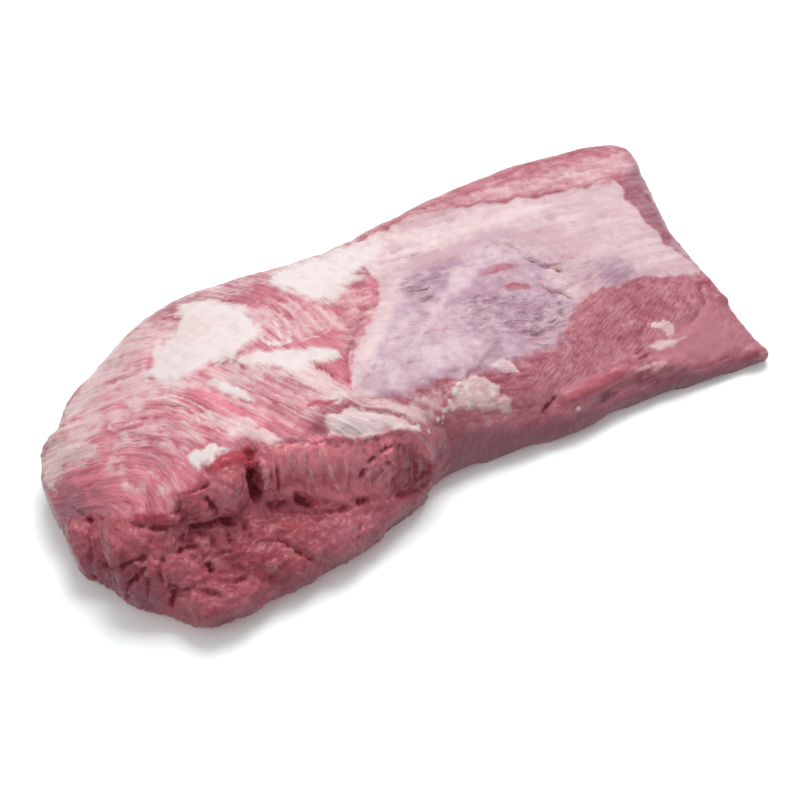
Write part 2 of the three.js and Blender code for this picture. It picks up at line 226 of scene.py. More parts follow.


# Creases and ridges: the name, the line, the reach, the depth and the blood, which is the painted shade in a
# crease's bottom.
# Some also give the fat: the white of a ridge's crest, partly painted highlight.
FOLDS = [
    Fold("cleft", [252, 462, 252, 474, 254, 486, 257, 498, 261, 508], 4, 6, 0.85),
    Fold("cleft, upper end", [246, 446, 249, 455, 251, 464], 3, 2.4, 0.4),
    Fold("gap under the flap", [291, 492, 299, 498, 307, 503, 317, 507], 4.2, 3.8, 0.85),
    Fold("gap under the flap, left", [262, 504, 272, 506, 284, 505, 295, 505], 3, 2.6, 0.6),
    Fold("gap under the flap, middle", [354, 502, 362, 500, 371, 498], 3, 3, 0.8),
    Fold("gap under the flap, end", [391, 497, 402, 494, 414, 492, 424, 487], 2.8, 2.8, 0.7),
    Fold("seam under the flap", [257, 510, 275, 509, 300, 510, 330, 511, 355, 505, 380, 500], 2.2, 1.5,
        0.5),
    Fold("seam at the flap's end", [380, 500, 400, 496, 418, 490, 430, 480, 436, 472], 2.2, 1.4, 0.4),
    Fold("lobe's upper edge", [330, 517, 352, 511, 378, 504, 400, 500], 4, -1.2),
    Fold("pale finger by the cleft", [264, 466, 264, 476, 265, 487], 4.2, -3.2),
    Fold("finger's shade", [269, 470, 270, 478, 270, 486], 2.2, 0.8, 0.3),
    Fold("fibre by the finger", [274, 466, 275, 478, 276, 492], 2.2, -1),
    Fold("fibre by the finger, second", [280, 462, 281, 476, 282, 492], 2.2, -1),
    Fold("fibre crease by the finger", [277, 466, 278, 478, 279, 494], 1.6, 1, 0.4),
    Fold("slit, lower", [361, 481, 363, 474, 366, 467], 2.4, 2.8, 0.8),
    Fold("slit, middle", [367, 466, 371, 461, 378, 457], 2.6, 3, 0.8),
    Fold("slit, inner", [380, 457, 384, 451, 391, 447, 398, 446], 2.6, 2.8, 0.75),
    Fold("slit, inner edge", [382, 463, 389, 464, 396, 461, 402, 460], 1.8, 1.4, 0.5),
    Fold("slit, upper", [399, 452, 402, 446, 406, 441], 2.2, 2.2, 0.7),
    Fold("fan edge, first", [366, 481, 374, 471, 384, 460], 1.8, -1, fat=0.2),
    Fold("fan edge, second", [378, 480, 386, 470, 396, 460], 1.8, -1, fat=0.2),
    Fold("fan crease", [372, 484, 381, 474, 391, 464], 1.8, 1.2, 0.5),
    Fold("fan crease, right", [388, 486, 397, 476, 408, 466], 1.8, 1.1, 0.4),
    Fold("hollow of the tip", [404, 450, 412, 460, 415, 472], 9, 3, 0.55),
    Fold("crease under the tip", [410, 482, 420, 476, 430, 470], 2.6, 1.4, 0.5),
    Fold("rim of the tip", [397, 430, 407, 431, 417, 434, 426, 443, 432, 454, 435, 465], 4.5, -2.8,
        fat=0.12),
    Fold("rim of the flap", [314, 440, 330, 437, 345, 438, 358, 441], 3, -1.4),
    Fold("wavy rim", [360, 440, 367, 436, 377, 435, 388, 432, 397, 429], 2.8, -1.6, fat=0.25),
    Fold("crease behind the flap", [256, 421, 262, 425, 271, 430, 280, 436, 288, 441, 300, 443, 314, 440,
        324, 435], 2.6, 1.8, 0.5),
    Fold("hollow behind the flap", [280, 412, 298, 425, 315, 431], 10, 2.6),
    Fold("step at the membrane's end", [326, 404, 345, 407, 362, 409, 382, 412, 402, 417, 416, 426,
        426, 436, 433, 447], 3.4, 1.5, 0.12),
    Fold("swell of the membrane", [345, 424, 370, 424, 395, 424], 9, -1.8),
    Fold("knuckle's red top", [214, 466, 224, 460, 238, 456], 6, -2.2),
    Fold("knuckle's upper crease", [184, 497, 193, 492, 203, 487, 213, 483], 2, 2, 0.5),
    Fold("knuckle's Y crease", [201, 495, 207, 499, 212, 506, 216, 512, 219, 518], 1.8, 1.8, 0.6),
    Fold("knuckle's swell", [232, 488, 231, 500, 230, 508], 9.5, -4.2),
    Fold("knuckle's edge over the swell", [214, 482, 224, 484, 233, 488, 241, 494], 2, 1, 0.25),
    Fold("knuckle's left lobe", [192, 510, 202, 512, 208, 516], 8.5, -3),
    Fold("knuckle's edge", [178, 500, 180, 508, 179, 517], 3, 2, 0.6),
    Fold("under the knuckle", [180, 522, 192, 527, 206, 526, 218, 520, 232, 521, 244, 513], 3.2, 3.6, 1),
    Fold("under the knuckle, deep", [186, 532, 198, 534, 210, 530], 5, 2.4, 0.75),
    Fold("red lip", [137, 517, 150, 516, 165, 517, 175, 519], 5.5, -2.2),
    Fold("red lip's end", [112, 518, 124, 521, 135, 519], 4, -1.6),
    Fold("under the red lip", [131, 525, 148, 528, 164, 529, 177, 526], 2.2, 1.8, 0.8),
    Fold("left pit", [84, 518, 88, 520, 91, 524], 2.4, 2, 0.6),
    Fold("left pit's tail", [88, 524, 88, 538, 91, 556, 94, 572], 2, 1.8, 0.6),
    Fold("left pit's shade", [70, 506, 78, 512, 86, 516], 2.4, 1.4, 0.5),
    Fold("left lobe", [75, 530, 80, 546, 86, 562], 8, -2.4),
    Fold("left lobe's crease", [66, 530, 72, 545, 78, 560], 2.4, 1.4, 0.4),
    Fold("mass lobe", [112, 536, 122, 546, 118, 552], 15, -4),
    Fold("mass lobe, upper", [140, 540, 152, 546], 10, -2.4),
    Fold("mass lobe, left", [104, 574, 109, 583], 7, -1.5),
    Fold("mass lobe, low", [124, 574, 122, 582], 7, -1.6),
    Fold("mass lobe, middle", [139, 586, 138, 598], 7, -1.6),
    Fold("mass lobe, right", [156, 586, 160, 600], 8, -1.8),
    Fold("mass lobe, far right", [152, 566, 150, 574], 6, -1.4),
    Fold("mass crease", [99, 556, 103, 564, 109, 569, 117, 569, 125, 565, 134, 561, 144, 557, 152, 552],
        1.9, 2.2, 0.7),
    Fold("mass crease, second", [112, 571, 114, 580, 118, 588, 126, 590], 1.7, 1.7, 0.55),
    Fold("mass crease, low", [126, 590, 131, 582, 137, 577, 143, 571, 146, 564], 1.9, 2.2, 0.6),
    Fold("mass crease, down", [129, 584, 128, 593, 126, 602], 1.8, 1.8, 0.5),
    Fold("mass crease, right", [146, 574, 148, 588, 148, 604], 1.7, 1.6, 0.45),
    Fold("mass crease, far right", [163, 552, 162, 564, 160, 576, 166, 588], 1.8, 1.8, 0.6),
    Fold("mass crease, left", [96, 574, 100, 584, 108, 593], 1.8, 1.4, 0.6),
    Fold("slit over the knob", [170, 556, 179, 552, 190, 547, 200, 545], 2.2, 2.4, 0.7),
    Fold("knob", [182, 566, 192, 572, 190, 580], 11, -3.4),
    Fold("knob's crest", [180, 556, 190, 554, 200, 557], 3, -1.6, fat=0.1),
    Fold("dark hole", [206, 562, 209, 569, 210, 576], 3.4, 4.4, 0.85),
    Fold("hole's tail", [213, 577, 225, 581, 238, 580, 250, 577], 2, 1.8, 0.5),
    Fold("knob's foot", [168, 584, 180, 589, 192, 588, 202, 581], 2.2, 2.2, 0.6),
    Fold("column of the flap", [286, 452, 288, 468, 292, 482], 3.4, -1.2),
    Fold("column of the flap, second", [322, 446, 326, 464, 332, 484], 3.4, -1.2),
    Fold("column of the flap, third", [344, 446, 346, 464, 344, 488], 3, -1),
    Fold("groove of the flap", [304, 452, 307, 468, 309, 484], 2.4, 0.9, 0.2),
    Fold("groove of the flap, second", [336, 452, 338, 468, 339, 486], 2.2, 0.8, 0.2),
    Fold("nose's back", [172, 612, 172, 601, 175, 592, 180, 589], 2.2, 2.4, 0.8),
    Fold("nose", [196, 606, 214, 612, 232, 606], 15, -3),
    Fold("nose's fold, first", [190, 591, 204, 588, 218, 590, 230, 594], 3, -1.8, fat=0.08),
    Fold("nose's crease, first", [194, 595, 206, 593, 219, 596, 228, 601], 2.2, 1.6, 0.45),
    Fold("nose's crease, second", [204, 583, 216, 585, 230, 588, 244, 588], 2.2, 1.4, 0.5),
    Fold("crags", [176, 536, 186, 541, 196, 539], 4, 2.6, 0.8),
    Fold("crag lump", [170, 546, 178, 543], 5, -2),
    Fold("fan lump, first", [200, 541, 208, 548], 6.5, -1.8),
    Fold("fan lump, second", [214, 528, 222, 540], 6.5, -2),
    Fold("fan lump, third", [234, 528, 238, 538], 7.5, -1.8),
    Fold("fan lump, fourth", [252, 524, 262, 530], 8, -1.8),
    Fold("fan crease, first", [207, 530, 213, 540, 216, 552], 1.7, 0.9, 0.25),
    Fold("fan crease, second", [226, 524, 229, 536, 232, 548], 1.7, 0.8, 0.2),
    Fold("fan crease, third", [243, 518, 246, 530, 254, 540], 1.7, 0.8, 0.2),
    Fold("fan crease, low", [208, 556, 220, 554, 234, 550, 250, 545], 1.9, 1.1, 0.35),
    Fold("pale finger", [216, 521, 221, 516], 3, -1.4, fat=0.2),
    Fold("boundary of the lobe", [255, 545, 268, 540, 282, 541, 292, 547, 303, 556, 316, 561, 328, 565],
        2, 1.5, 0.65),
    Fold("swell over the boundary", [268, 531, 284, 531, 300, 541, 318, 550], 8, -2.6),
    Fold("swell under the boundary", [252, 562, 274, 560, 296, 568], 11, -2.2),
    Fold("right swell", [344, 524, 348, 540, 338, 556], 10, -2.2),
    Fold("right groove", [330, 516, 334, 530, 338, 545, 334, 560], 2.2, 1, 0.4),
    Fold("right crease", [362, 520, 360, 534, 354, 549], 2, 1, 0.4),
    Fold("flat's fold", [541, 418, 546, 408, 553, 400, 560, 392], 2, 1.8, 0.6),
    Fold("flat's lip", [566, 398, 578, 393, 590, 387, 602, 380, 618, 373, 634, 368, 650, 366, 664, 366,
        682, 366], 8, -3),
    Fold("under the flat's lip", [586, 404, 602, 401, 618, 393, 632, 386, 650, 380, 666, 378], 6, 2.8,
        0.35),
    Fold("nick under the lip", [652, 386, 658, 383, 663, 379], 2, 1.4, 0.7),
    Fold("nick under the lip, left", [604, 405, 608, 400, 616, 398], 2, 1.4, 0.7),
    Fold("shred at the flat's tip", [752, 353, 762, 355], 7, -4),
    Fold("step of the end", [719, 297, 724, 300], 5, -2.6),
    Fold("edge above the lip", [590, 380, 603, 373, 620, 365, 636, 360], 3, 1.2, 0.35),
    Fold("wave, first", [636, 363, 643, 358, 650, 353], 1.8, 1.4, 0.7),
    Fold("wave, second", [634, 356, 640, 351, 646, 346], 1.8, 1.2, 0.6),
    Fold("wave, third", [638, 347, 644, 342], 1.8, 1, 0.5),
    Fold("wave, fourth", [644, 368, 652, 362, 662, 357], 1.8, 1, 0.4),
    Fold("ridge of the silver skin", [462, 300, 478, 296, 492, 297], 2.6, -0.9),
    Fold("ridge of the silver skin, left", [404, 312, 414, 310, 426, 312], 2.6, -0.8),
    Fold("bead of the far skin", [482, 262, 496, 257], 3, -0.9),
    Fold("swell between the lenses", [482, 279, 500, 276, 516, 275], 3.4, -1),
    Fold("lump of the skin's edge", [552, 276, 560, 281], 4, -1),
    Fold("lump of the skin's edge, low", [548, 318, 556, 314], 3.4, -0.9),
    Fold("lump of the skin's edge, lower", [540, 328, 548, 326], 3.4, -0.9),
    Fold("crease of the skin's edge", [538, 322, 546, 323, 556, 320, 564, 314], 1.8, 1, 0.15),
    Fold("crease of the skin's edge, low", [530, 333, 540, 334, 552, 332], 1.8, 0.9, 0.15),
    Fold("edge of the smooth end", [704, 279, 702, 290, 703, 300, 698, 311, 691, 321, 684, 329], 2.6, 1,
        0.2),
    Fold("nick by the edge", [701, 284, 699, 291], 1.7, 1.3, 0.7),
    Fold("nick by the edge, second", [706, 299, 704, 307], 1.7, 1.3, 0.7),
    Fold("nick by the edge, third", [716, 305, 714, 314], 1.7, 1.3, 0.6),
    Fold("nick by the edge, fourth", [694, 312, 690, 317], 1.7, 1.1, 0.5),
    Fold("notch between the muscles", [376, 294, 366, 312, 356, 332, 349, 354, 348, 378], 4, 0.9),
    Fold("crack in the fat", [518, 254, 527, 259, 535, 261, 542, 265, 551, 266, 560, 270, 570, 274], 2.7,
        2.2, 0.45),
    Fold("crack in the fat, right", [536, 285, 545, 287, 553, 291, 562, 292, 571, 297, 580, 300], 2.7,
        2.2, 0.6),
    Fold("crack in the fat, upper", [500, 240, 514, 247, 524, 251], 2.4, 1.5, 0.3),
    Fold("cell of the fat", [546, 278, 558, 281, 566, 286], 4.5, -1.6),
    Fold("cell of the fat, left", [530, 272, 540, 275], 4, -1.2),
    Fold("cell of the fat, upper", [552, 258, 566, 263], 4, -1),
    Fold("line in the far fat", [364, 268, 384, 263, 404, 257, 423, 251, 441, 243, 458, 236, 474, 229],
        2.2, 1.4, 0.4),
    Fold("line in the far fat, upper", [382, 256, 404, 249, 428, 240], 1.9, 1, 0.2),
    Fold("crack in the fat, low", [556, 300, 562, 304, 569, 303], 1.6, 0.9, 0.3),
    Fold("groove of the silver skin", [399, 295, 410, 290, 424, 288, 438, 283], 2.4, 1.5, 0.25),
    Fold("groove of the silver skin, low", [418, 303, 428, 298, 440, 292], 2, 1, 0.15),
    Fold("ticks on the silver skin", [388, 338, 396, 338, 404, 336, 411, 334], 1.8, 1, 0.35),
    Fold("streak in the far fat", [372, 261, 398, 252, 424, 248, 450, 238, 476, 225], 3.4, 0.8),
    Fold("streak in the far fat, low", [420, 262, 440, 250, 462, 240, 478, 228], 3.4, 0.7),
    Fold("ridge of the far fat", [366, 230, 400, 224, 430, 217, 458, 208, 500, 200, 560, 191, 640, 179],
        4, 1),
    Fold("under the big patch", [206, 366, 218, 362, 230, 361, 238, 354, 244, 348], 2.2, 1.2, 0.4),
    Fold("edge of the fat band", [232, 362, 238, 355, 250, 352, 270, 349], 2, -0.9),
    Fold("under the fat band", [306, 361, 318, 366, 330, 373, 342, 382], 2.6, 1.4, 0.4),
    Fold("red wedge", [312, 360, 326, 362, 338, 369, 345, 377], 4, -1.4),
    Fold("left skin fold", [150, 392, 170, 392, 190, 399, 204, 411, 214, 424], 4, 1.2),
    Fold("shoulder of the left side", [67, 402, 77, 388, 88, 373], 42, 9),
    Fold("corner of the left side", [58, 428, 53, 437, 49, 448], 18, -6),
    Fold("swell of the left end", [48, 448, 46, 472, 52, 500], 22, -3.5),
    Fold("swell of the lower left", [72, 546, 84, 566, 100, 584], 16, -3.6),
    Fold("slack of the right lobe", [404, 522, 372, 548], 16, 3),
    Fold("ribbon on the silver skin", [447, 292, 438, 306, 430, 322, 420, 336, 411, 352, 402, 368,
        390, 388], 3.4, -0.5),
    Fold("ribbon on the silver skin, right", [497, 338, 490, 347, 482, 356, 474, 366], 3, -0.9),
    Fold("ribbon beside the beads", [436, 420, 450, 396, 462, 380, 474, 362], 3.4, -0.9),
]

# Two outlines that serve for two tissues each.
MEMBRANE = [
    326, 414, 338, 415, 352, 409, 372, 412, 392, 415, 404, 420, 418, 430, 404, 429, 388, 431, 368, 436,
    344, 437, 327, 437]
FAR_STRIP = [
    400, 222, 440, 202, 500, 182, 560, 162, 630, 148, 640, 160, 616, 181, 560, 190, 440, 211]

# Stretches of each tissue: the name, the outline, the share and the edge.
PATCHES: dict[Tissue, list[Patch]] = {}
PATCHES[Tissue.FAT] = [
    Patch("big patch", [178, 312, 186, 302, 206, 299, 226, 302, 242, 308, 254, 315, 259, 324, 260, 334,
        252, 341, 244, 347, 236, 355, 227, 361, 213, 364, 202, 367, 192, 376, 176, 382, 158, 383,
        144, 379, 146, 372, 154, 365, 152, 352, 156, 344, 168, 338, 178, 326], 1, 4, rise=0.6),
    Patch("far fat band", [268, 283, 276, 272, 300, 262, 330, 252, 350, 246, 356, 262, 352, 282, 343, 290,
        338, 304, 326, 302, 306, 297, 290, 291], 1, 3.4, rise=0.5),
    Patch("far fat band's soft end", [326, 256, 356, 243, 384, 236, 380, 254, 368, 268, 346, 284], 1, 5,
        rise=0.5),
    Patch("fat band under the patch", [230, 366, 240, 357, 256, 349, 277, 348, 300, 349, 320, 349,
        338, 351, 342, 357, 328, 361, 308, 361, 310, 368, 296, 372, 282, 367, 262, 363, 246, 364], 1, 2.2,
        rise=0.8),
    Patch("small patch over the stripes", [206, 381, 216, 380, 230, 383, 244, 390, 254, 397, 250, 401,
        236, 398, 222, 391], 1, 2.2, rise=0.5),
    Patch("patch at the membrane", [324, 398, 332, 393, 345, 393, 346, 399, 334, 401], 1, 1.8, rise=0.4),
    Patch("patch over the knuckle", [190, 458, 195, 450, 205, 451, 210, 446, 219, 449, 224, 447, 231, 450,
        218, 455, 212, 462, 206, 460, 200, 467, 193, 465], 1, 2, rise=0.4),
]
PATCHES[Tissue.FILM] = [
    Patch("pale wedge under the band", [284, 358, 306, 360, 318, 368, 332, 378, 347, 387, 358, 394,
        352, 402, 336, 399, 320, 392, 304, 382, 290, 372], 1.2, 2.4, rise=0.7),
    Patch("left spot", [128, 404, 138, 403, 142, 410, 136, 415, 130, 411], 1, 1.4, rise=0.2),
    Patch("white lump", [493, 362, 503, 359, 512, 364, 519, 371, 507, 374, 496, 369], 1, 1.4, rise=1.3),
    Patch("fleck on the flat", [648, 325, 656, 322, 664, 321, 676, 324, 677, 332, 669, 335, 661, 330,
        652, 328], 1.7, 1.8, rise=0.3),
    Patch("thin fat of the far side", [120, 345, 150, 312, 180, 296, 230, 282, 262, 274, 276, 270,
        262, 286, 226, 298, 188, 300, 166, 306, 140, 328], 0.62, 3),
    Patch("bright streak of the band", [350, 262, 372, 244, 400, 232, 440, 220, 480, 212, 520, 206,
        560, 204, 540, 218, 490, 230, 440, 246, 400, 262, 376, 276], 1, 5),
    Patch("bright middle of the panel", [540, 204, 610, 190, 630, 196, 650, 236, 672, 262, 650, 264,
        600, 250, 566, 236], 0.45, 7),
    Patch("pale of the strip", [384, 288, 404, 278, 402, 300, 390, 330, 378, 356, 362, 374, 352, 382,
        350, 366, 360, 342, 373, 318], 1.1, 9),
    Patch("skin over the left", [44, 480, 44, 450, 56, 425, 74, 408, 96, 370, 120, 340, 150, 318,
        176, 312, 176, 336, 150, 352, 150, 380, 184, 384, 206, 372, 236, 366, 262, 372, 262, 384,
        230, 392, 196, 390, 170, 396, 150, 404, 130, 420, 104, 430, 96, 446, 100, 462, 70, 474, 56, 492],
        0.82, 5),
    Patch("skin over the stripes", [100, 430, 130, 412, 160, 400, 190, 398, 222, 404, 250, 420, 240, 440,
        200, 446, 186, 462, 182, 486, 160, 500, 130, 496, 104, 480, 84, 470, 70, 478, 84, 448], 0.52, 5),
    Patch("skin of the lower left", [56, 486, 70, 466, 96, 460, 130, 490, 160, 500, 176, 492, 178, 510,
        150, 512, 120, 512, 96, 506, 80, 486], 0.22, 4),
    Patch("skin of the notch", [340, 294, 352, 284, 366, 281, 376, 292, 378, 306, 366, 326, 362, 344,
        352, 356, 340, 346, 338, 320], 0.5, 3),
    Patch("pale swell of the knuckle", [218, 488, 236, 488, 244, 500, 238, 512, 222, 508], 0.22, 4),
    Patch("pale left edge", [43, 470, 46, 452, 60, 442, 84, 440, 100, 448, 98, 458, 78, 461, 62, 466,
        58, 480, 56, 494, 47, 486], 1.35, 2.6, rise=0.3),
    Patch("pale left edge, upper", [58, 432, 70, 420, 88, 410, 96, 416, 80, 432, 62, 440], 0.7, 2.6),
    Patch("soft foot of the big patch", [118, 392, 128, 380, 146, 374, 160, 380, 186, 378, 198, 370,
        206, 376, 190, 388, 160, 392, 136, 398], 0.85, 3),
    Patch("pale blotch", [112, 432, 124, 430, 132, 438, 122, 442], 0.9, 1.6),
    Patch("pale blotch, upper", [100, 372, 116, 356, 130, 352, 126, 364, 112, 378], 0.8, 2.4),
    Patch("band over the knuckle", [196, 410, 210, 409, 232, 416, 250, 422, 264, 429, 278, 436, 286, 441,
        262, 443, 244, 438, 226, 430, 206, 424], 1.15, 2, rise=0.5),
    Patch("skin under the band", [236, 364, 256, 363, 276, 367, 296, 374, 280, 378, 256, 374, 240, 371],
        0.75, 2.5),
    Patch("skin of the middle", [250, 300, 282, 292, 320, 304, 338, 316, 336, 332, 300, 342, 272, 346,
        258, 336, 262, 318], 0.56, 4),
    Patch("skin over the middle lean", [200, 384, 240, 376, 290, 380, 330, 396, 330, 416, 300, 430,
        266, 424, 236, 408], 0.5, 5),
    Patch("skin beside the membrane", [342, 398, 356, 390, 376, 393, 400, 401, 420, 413, 428, 424,
        412, 420, 392, 413, 362, 408, 346, 405], 0.85, 3),
    Patch("membrane on the flap", MEMBRANE, 1.3, 2.6, rise=0.6),
    Patch("crumbly patch", [464, 382, 472, 375, 484, 377, 492, 384, 500, 388, 502, 396, 511, 401,
        512, 409, 503, 413, 496, 407, 488, 412, 479, 407, 468, 410, 458, 407, 452, 412, 444, 412,
        452, 396], 1.1, 3.4, rise=0.8),
    Patch("pale skin by the fleck", [646, 348, 656, 341, 668, 338, 684, 338, 678, 344, 662, 348], 1.1, 2,
        rise=0.2),
    Patch("skin at the flat's near side", [404, 392, 430, 384, 452, 384, 450, 400, 434, 420, 420, 420,
        408, 410], 0.5, 4),
    Patch("pink by the big patch", [150, 316, 162, 310, 178, 314, 176, 330, 162, 340, 150, 336], -0.3, 5),
    Patch("pink streak by the big patch", [120, 354, 138, 351, 154, 356, 156, 367, 140, 368, 122, 362],
        -0.3, 4),
    Patch("pink of the shoulder", [98, 392, 112, 388, 130, 392, 128, 402, 132, 414, 116, 416, 102, 408],
        -0.25, 5),
    Patch("pink under the pale edge", [64, 462, 80, 459, 104, 462, 110, 474, 92, 480, 72, 476, 63, 472],
        -0.3, 4),
    Patch("pink of the lower left", [82, 482, 100, 480, 122, 486, 122, 500, 100, 500, 86, 494], -0.45, 5),
    Patch("pink of the left arcs", [90, 438, 106, 440, 110, 450, 96, 452], -0.25, 4),
    Patch("pink of the stripes", [188, 396, 206, 400, 226, 414, 220, 424, 204, 418, 192, 408], -0.25, 4),
    Patch("pink of the low stripes", [122, 450, 160, 448, 186, 456, 180, 480, 150, 488, 124, 478], -0.35,
        6),
    Patch("cream streaks of the left", [116, 344, 134, 340, 150, 342, 156, 348, 138, 351, 118, 351], 0.95,
        1.8),
    Patch("cream streak, low", [106, 426, 112, 424, 124, 432, 136, 442, 128, 443, 114, 434], 0.95, 1.4),
    Patch("pale streak of the shoulder", [114, 386, 126, 382, 146, 385, 146, 391, 126, 393], 0.95, 1.6),
    Patch("pale of the rounding", [60, 420, 76, 394, 96, 366, 116, 342, 130, 344, 116, 370, 98, 396,
        80, 418], 1.05, 3),
    Patch("pale finger", [261, 467, 267, 466, 269, 476, 268, 487, 263, 488, 261, 478], 0.5, 2.4),
    Patch("pale of the silver skin", [366, 380, 380, 346, 392, 320, 404, 300, 420, 300, 450, 300,
        470, 312, 470, 330, 490, 344, 480, 362, 450, 376, 420, 382, 388, 394], 0.45, 8),
    Patch("pale of the silver skin, upper", [450, 272, 466, 252, 492, 243, 518, 248, 520, 258, 492, 264,
        470, 282, 458, 298, 446, 296], 0.8, 4),
    Patch("pale patch of the silver skin", [424, 346, 446, 336, 486, 340, 470, 362, 440, 374, 412, 378],
        0.85, 6),
    Patch("pale left of the silver skin", [386, 336, 400, 318, 418, 306, 420, 316, 404, 336, 388, 352],
        0.85, 5),
    Patch("pale ribbon of the silver skin", [448, 290, 452, 298, 434, 326, 420, 346, 406, 368, 394, 392,
        386, 390, 400, 362, 414, 338, 432, 308], 0.8, 4),
    Patch("pale cells beside the flat", [548, 270, 564, 274, 580, 284, 578, 302, 564, 300, 552, 288],
        0.55, 3),
    Patch("skin of the end strip", [630, 168, 642, 164, 652, 186, 664, 206, 684, 236, 702, 266, 690, 262,
        668, 246, 645, 224, 634, 206, 626, 188], 0.35, 4),
    Patch("pale of the far strip", [400, 222, 440, 202, 500, 182, 560, 164, 620, 148, 634, 152, 640, 176,
        600, 184, 520, 196, 440, 210], 0.62, 6),
    Patch("pale of the end strip", [640, 194, 648, 200, 656, 214, 650, 216, 642, 206], 0.3, 1.6),
    Patch("pale of the end strip, low", [664, 226, 676, 240, 690, 254, 700, 268, 690, 262, 674, 248], 0.7,
        1.6),
    Patch("pale end of the lip", [630, 366, 648, 363, 668, 364, 664, 372, 640, 374], 0.7, 4),
]
PATCHES[Tissue.SHEET] = [
    Patch("far panel", [340, 250, 366, 238, 392, 226, 437, 212, 498, 203, 560, 192, 616, 181, 624, 190,
        632, 206, 644, 222, 658, 233, 666, 246, 681, 255, 692, 264, 703, 273, 672, 275, 640, 277,
        604, 288, 582, 297, 572, 314, 560, 300, 545, 276, 520, 258, 492, 246, 457, 260, 410, 278,
        384, 300, 378, 286, 366, 268], 1, 2.6, rise=0.4),
    Patch("strip beside the silver skin", [384, 288, 404, 278, 402, 300, 390, 330, 378, 356, 366, 380,
        352, 392, 350, 366, 360, 342, 373, 318], 1, 2, rise=0.3),
    Patch("sheet of the membrane", MEMBRANE, 0.7, 3),
    Patch("sheet under the silver skin", [352, 398, 356, 384, 372, 374, 380, 350, 392, 318, 402, 284,
        440, 262, 492, 246, 520, 248, 545, 264, 566, 286, 574, 306, 566, 330, 552, 344, 512, 356,
        476, 368, 434, 378, 400, 390], 0.9, 4),
]
PATCHES[Tissue.BLOOM] = [
    Patch("flap", [258, 444, 290, 441, 330, 436, 362, 439, 390, 432, 396, 470, 380, 492,
        340, 498, 300, 496, 266, 490], 1.9, 4),
    Patch("tip's rim", [390, 433, 400, 429, 414, 432, 428, 442, 436, 458, 432, 468, 424, 454,
        412, 443, 396, 440], 1.5, 2),
    Patch("knuckle", [190, 492, 212, 466, 240, 452, 248, 470, 248, 500, 232, 514, 200, 520],
        0.45, 4),
    Patch("knuckle's swell", [214, 484, 238, 484, 246, 498, 238, 512, 218, 510], 0.8, 4),
    Patch("left", [50, 500, 44, 460, 70, 410, 110, 360, 170, 330, 230, 370, 320, 400,
        310, 430, 240, 440, 200, 450, 176, 510, 110, 512], 1.1, 8),
    Patch("middle", [250, 290, 300, 290, 350, 280, 384, 280, 384, 320, 362, 370, 356, 396,
        330, 400, 300, 372, 240, 360], 0.75, 6),
    Patch("flat's lip", [556, 404, 580, 386, 603, 376, 620, 368, 640, 364, 665, 366,
        664, 374, 640, 376, 612, 388, 580, 404, 562, 418], 0.5, 3),
    Patch("far strip", FAR_STRIP, 0.25, 4),
]
PATCHES[Tissue.DUSK] = [
    Patch("membrane", [330, 408, 344, 409, 362, 409, 358, 416, 338, 418], 0.4, 2),
    Patch("end strip", [624, 172, 640, 160, 650, 184, 662, 205, 680, 232, 702, 264, 690, 262,
        668, 246, 645, 224, 632, 206, 622, 188], 0.9, 4),
    Patch("left side", [54, 480, 70, 482, 86, 492, 98, 508, 84, 516, 66, 516, 54, 500], 0.75,
        3),
    Patch("far strip", [400, 218, 430, 204, 470, 194, 500, 186, 470, 202, 430, 214], 0.35, 3),
    Patch("left lobe", [64, 530, 84, 532, 96, 556, 100, 582, 84, 574, 70, 552], 0.85, 4),
    Patch("low mass", [96, 566, 120, 572, 150, 580, 166, 590, 160, 612, 130, 604, 104, 590,
        90, 574], 0.8, 6),
    Patch("right lobe", [330, 512, 372, 508, 404, 504, 398, 530, 350, 556, 320, 564,
        322, 540], 0.34, 8),
    # Painted shade, mauve, on the flat's near wall, which faces away from the key light.
    Patch("flat's wall", [444, 450, 470, 428, 520, 424, 580, 411, 600, 398, 640, 382,
        680, 374, 740, 364, 764, 362, 700, 390, 600, 424, 520, 450, 450, 476], 0.85, 4),
    Patch("lavender patch", [398, 294, 408, 282, 424, 274, 442, 268, 446, 280, 430, 292, 412, 298], 0.3, 4),
    Patch("mauve of the wrinkles", [470, 302, 490, 298, 520, 300, 548, 306, 548, 316, 520, 322, 490, 320,
        474, 314], 0.5, 5),
    Patch("upper lens", [476, 276, 494, 268, 518, 263, 522, 268, 498, 275, 480, 279], 0.5, 1.6),
    Patch("low lens", [502, 285, 512, 283, 528, 283, 533, 287, 524, 292, 508, 292], 0.9, 1.2),
    Patch("panel's corner", [598, 264, 614, 258, 632, 264, 640, 274, 618, 282, 602, 282], 0.4,
        4),
]
PATCHES[Tissue.WRINKLED] = [
    Patch("crumbly patch", [450, 410, 460, 386, 484, 374, 504, 386, 513, 410, 484, 414],
        0.4, 3),
    Patch("silver skin", [456, 300, 470, 292, 500, 290, 540, 296, 566, 304, 572, 320,
        560, 344, 536, 348, 520, 336, 500, 330, 476, 330, 460, 320], 1, 5),
    Patch("lavender patch", [394, 294, 410, 276, 440, 264, 452, 270, 444, 290, 420, 302],
        0.8, 4),
    Patch("low wrinkles of the silver skin", [384, 300, 412, 272, 492, 244, 530, 256, 562, 282, 576, 308,
        566, 344, 500, 364, 440, 384, 364, 398, 372, 350], 0.3, 6),
    Patch("panel's edge", [470, 232, 520, 236, 560, 250, 600, 260, 634, 264, 630, 280,
        590, 294, 560, 284, 520, 260, 480, 250], 0.6, 6),
    Patch("membrane", [326, 414, 352, 409, 392, 415, 418, 430, 388, 431, 344, 437,
        327, 437], 0.35, 3),
]
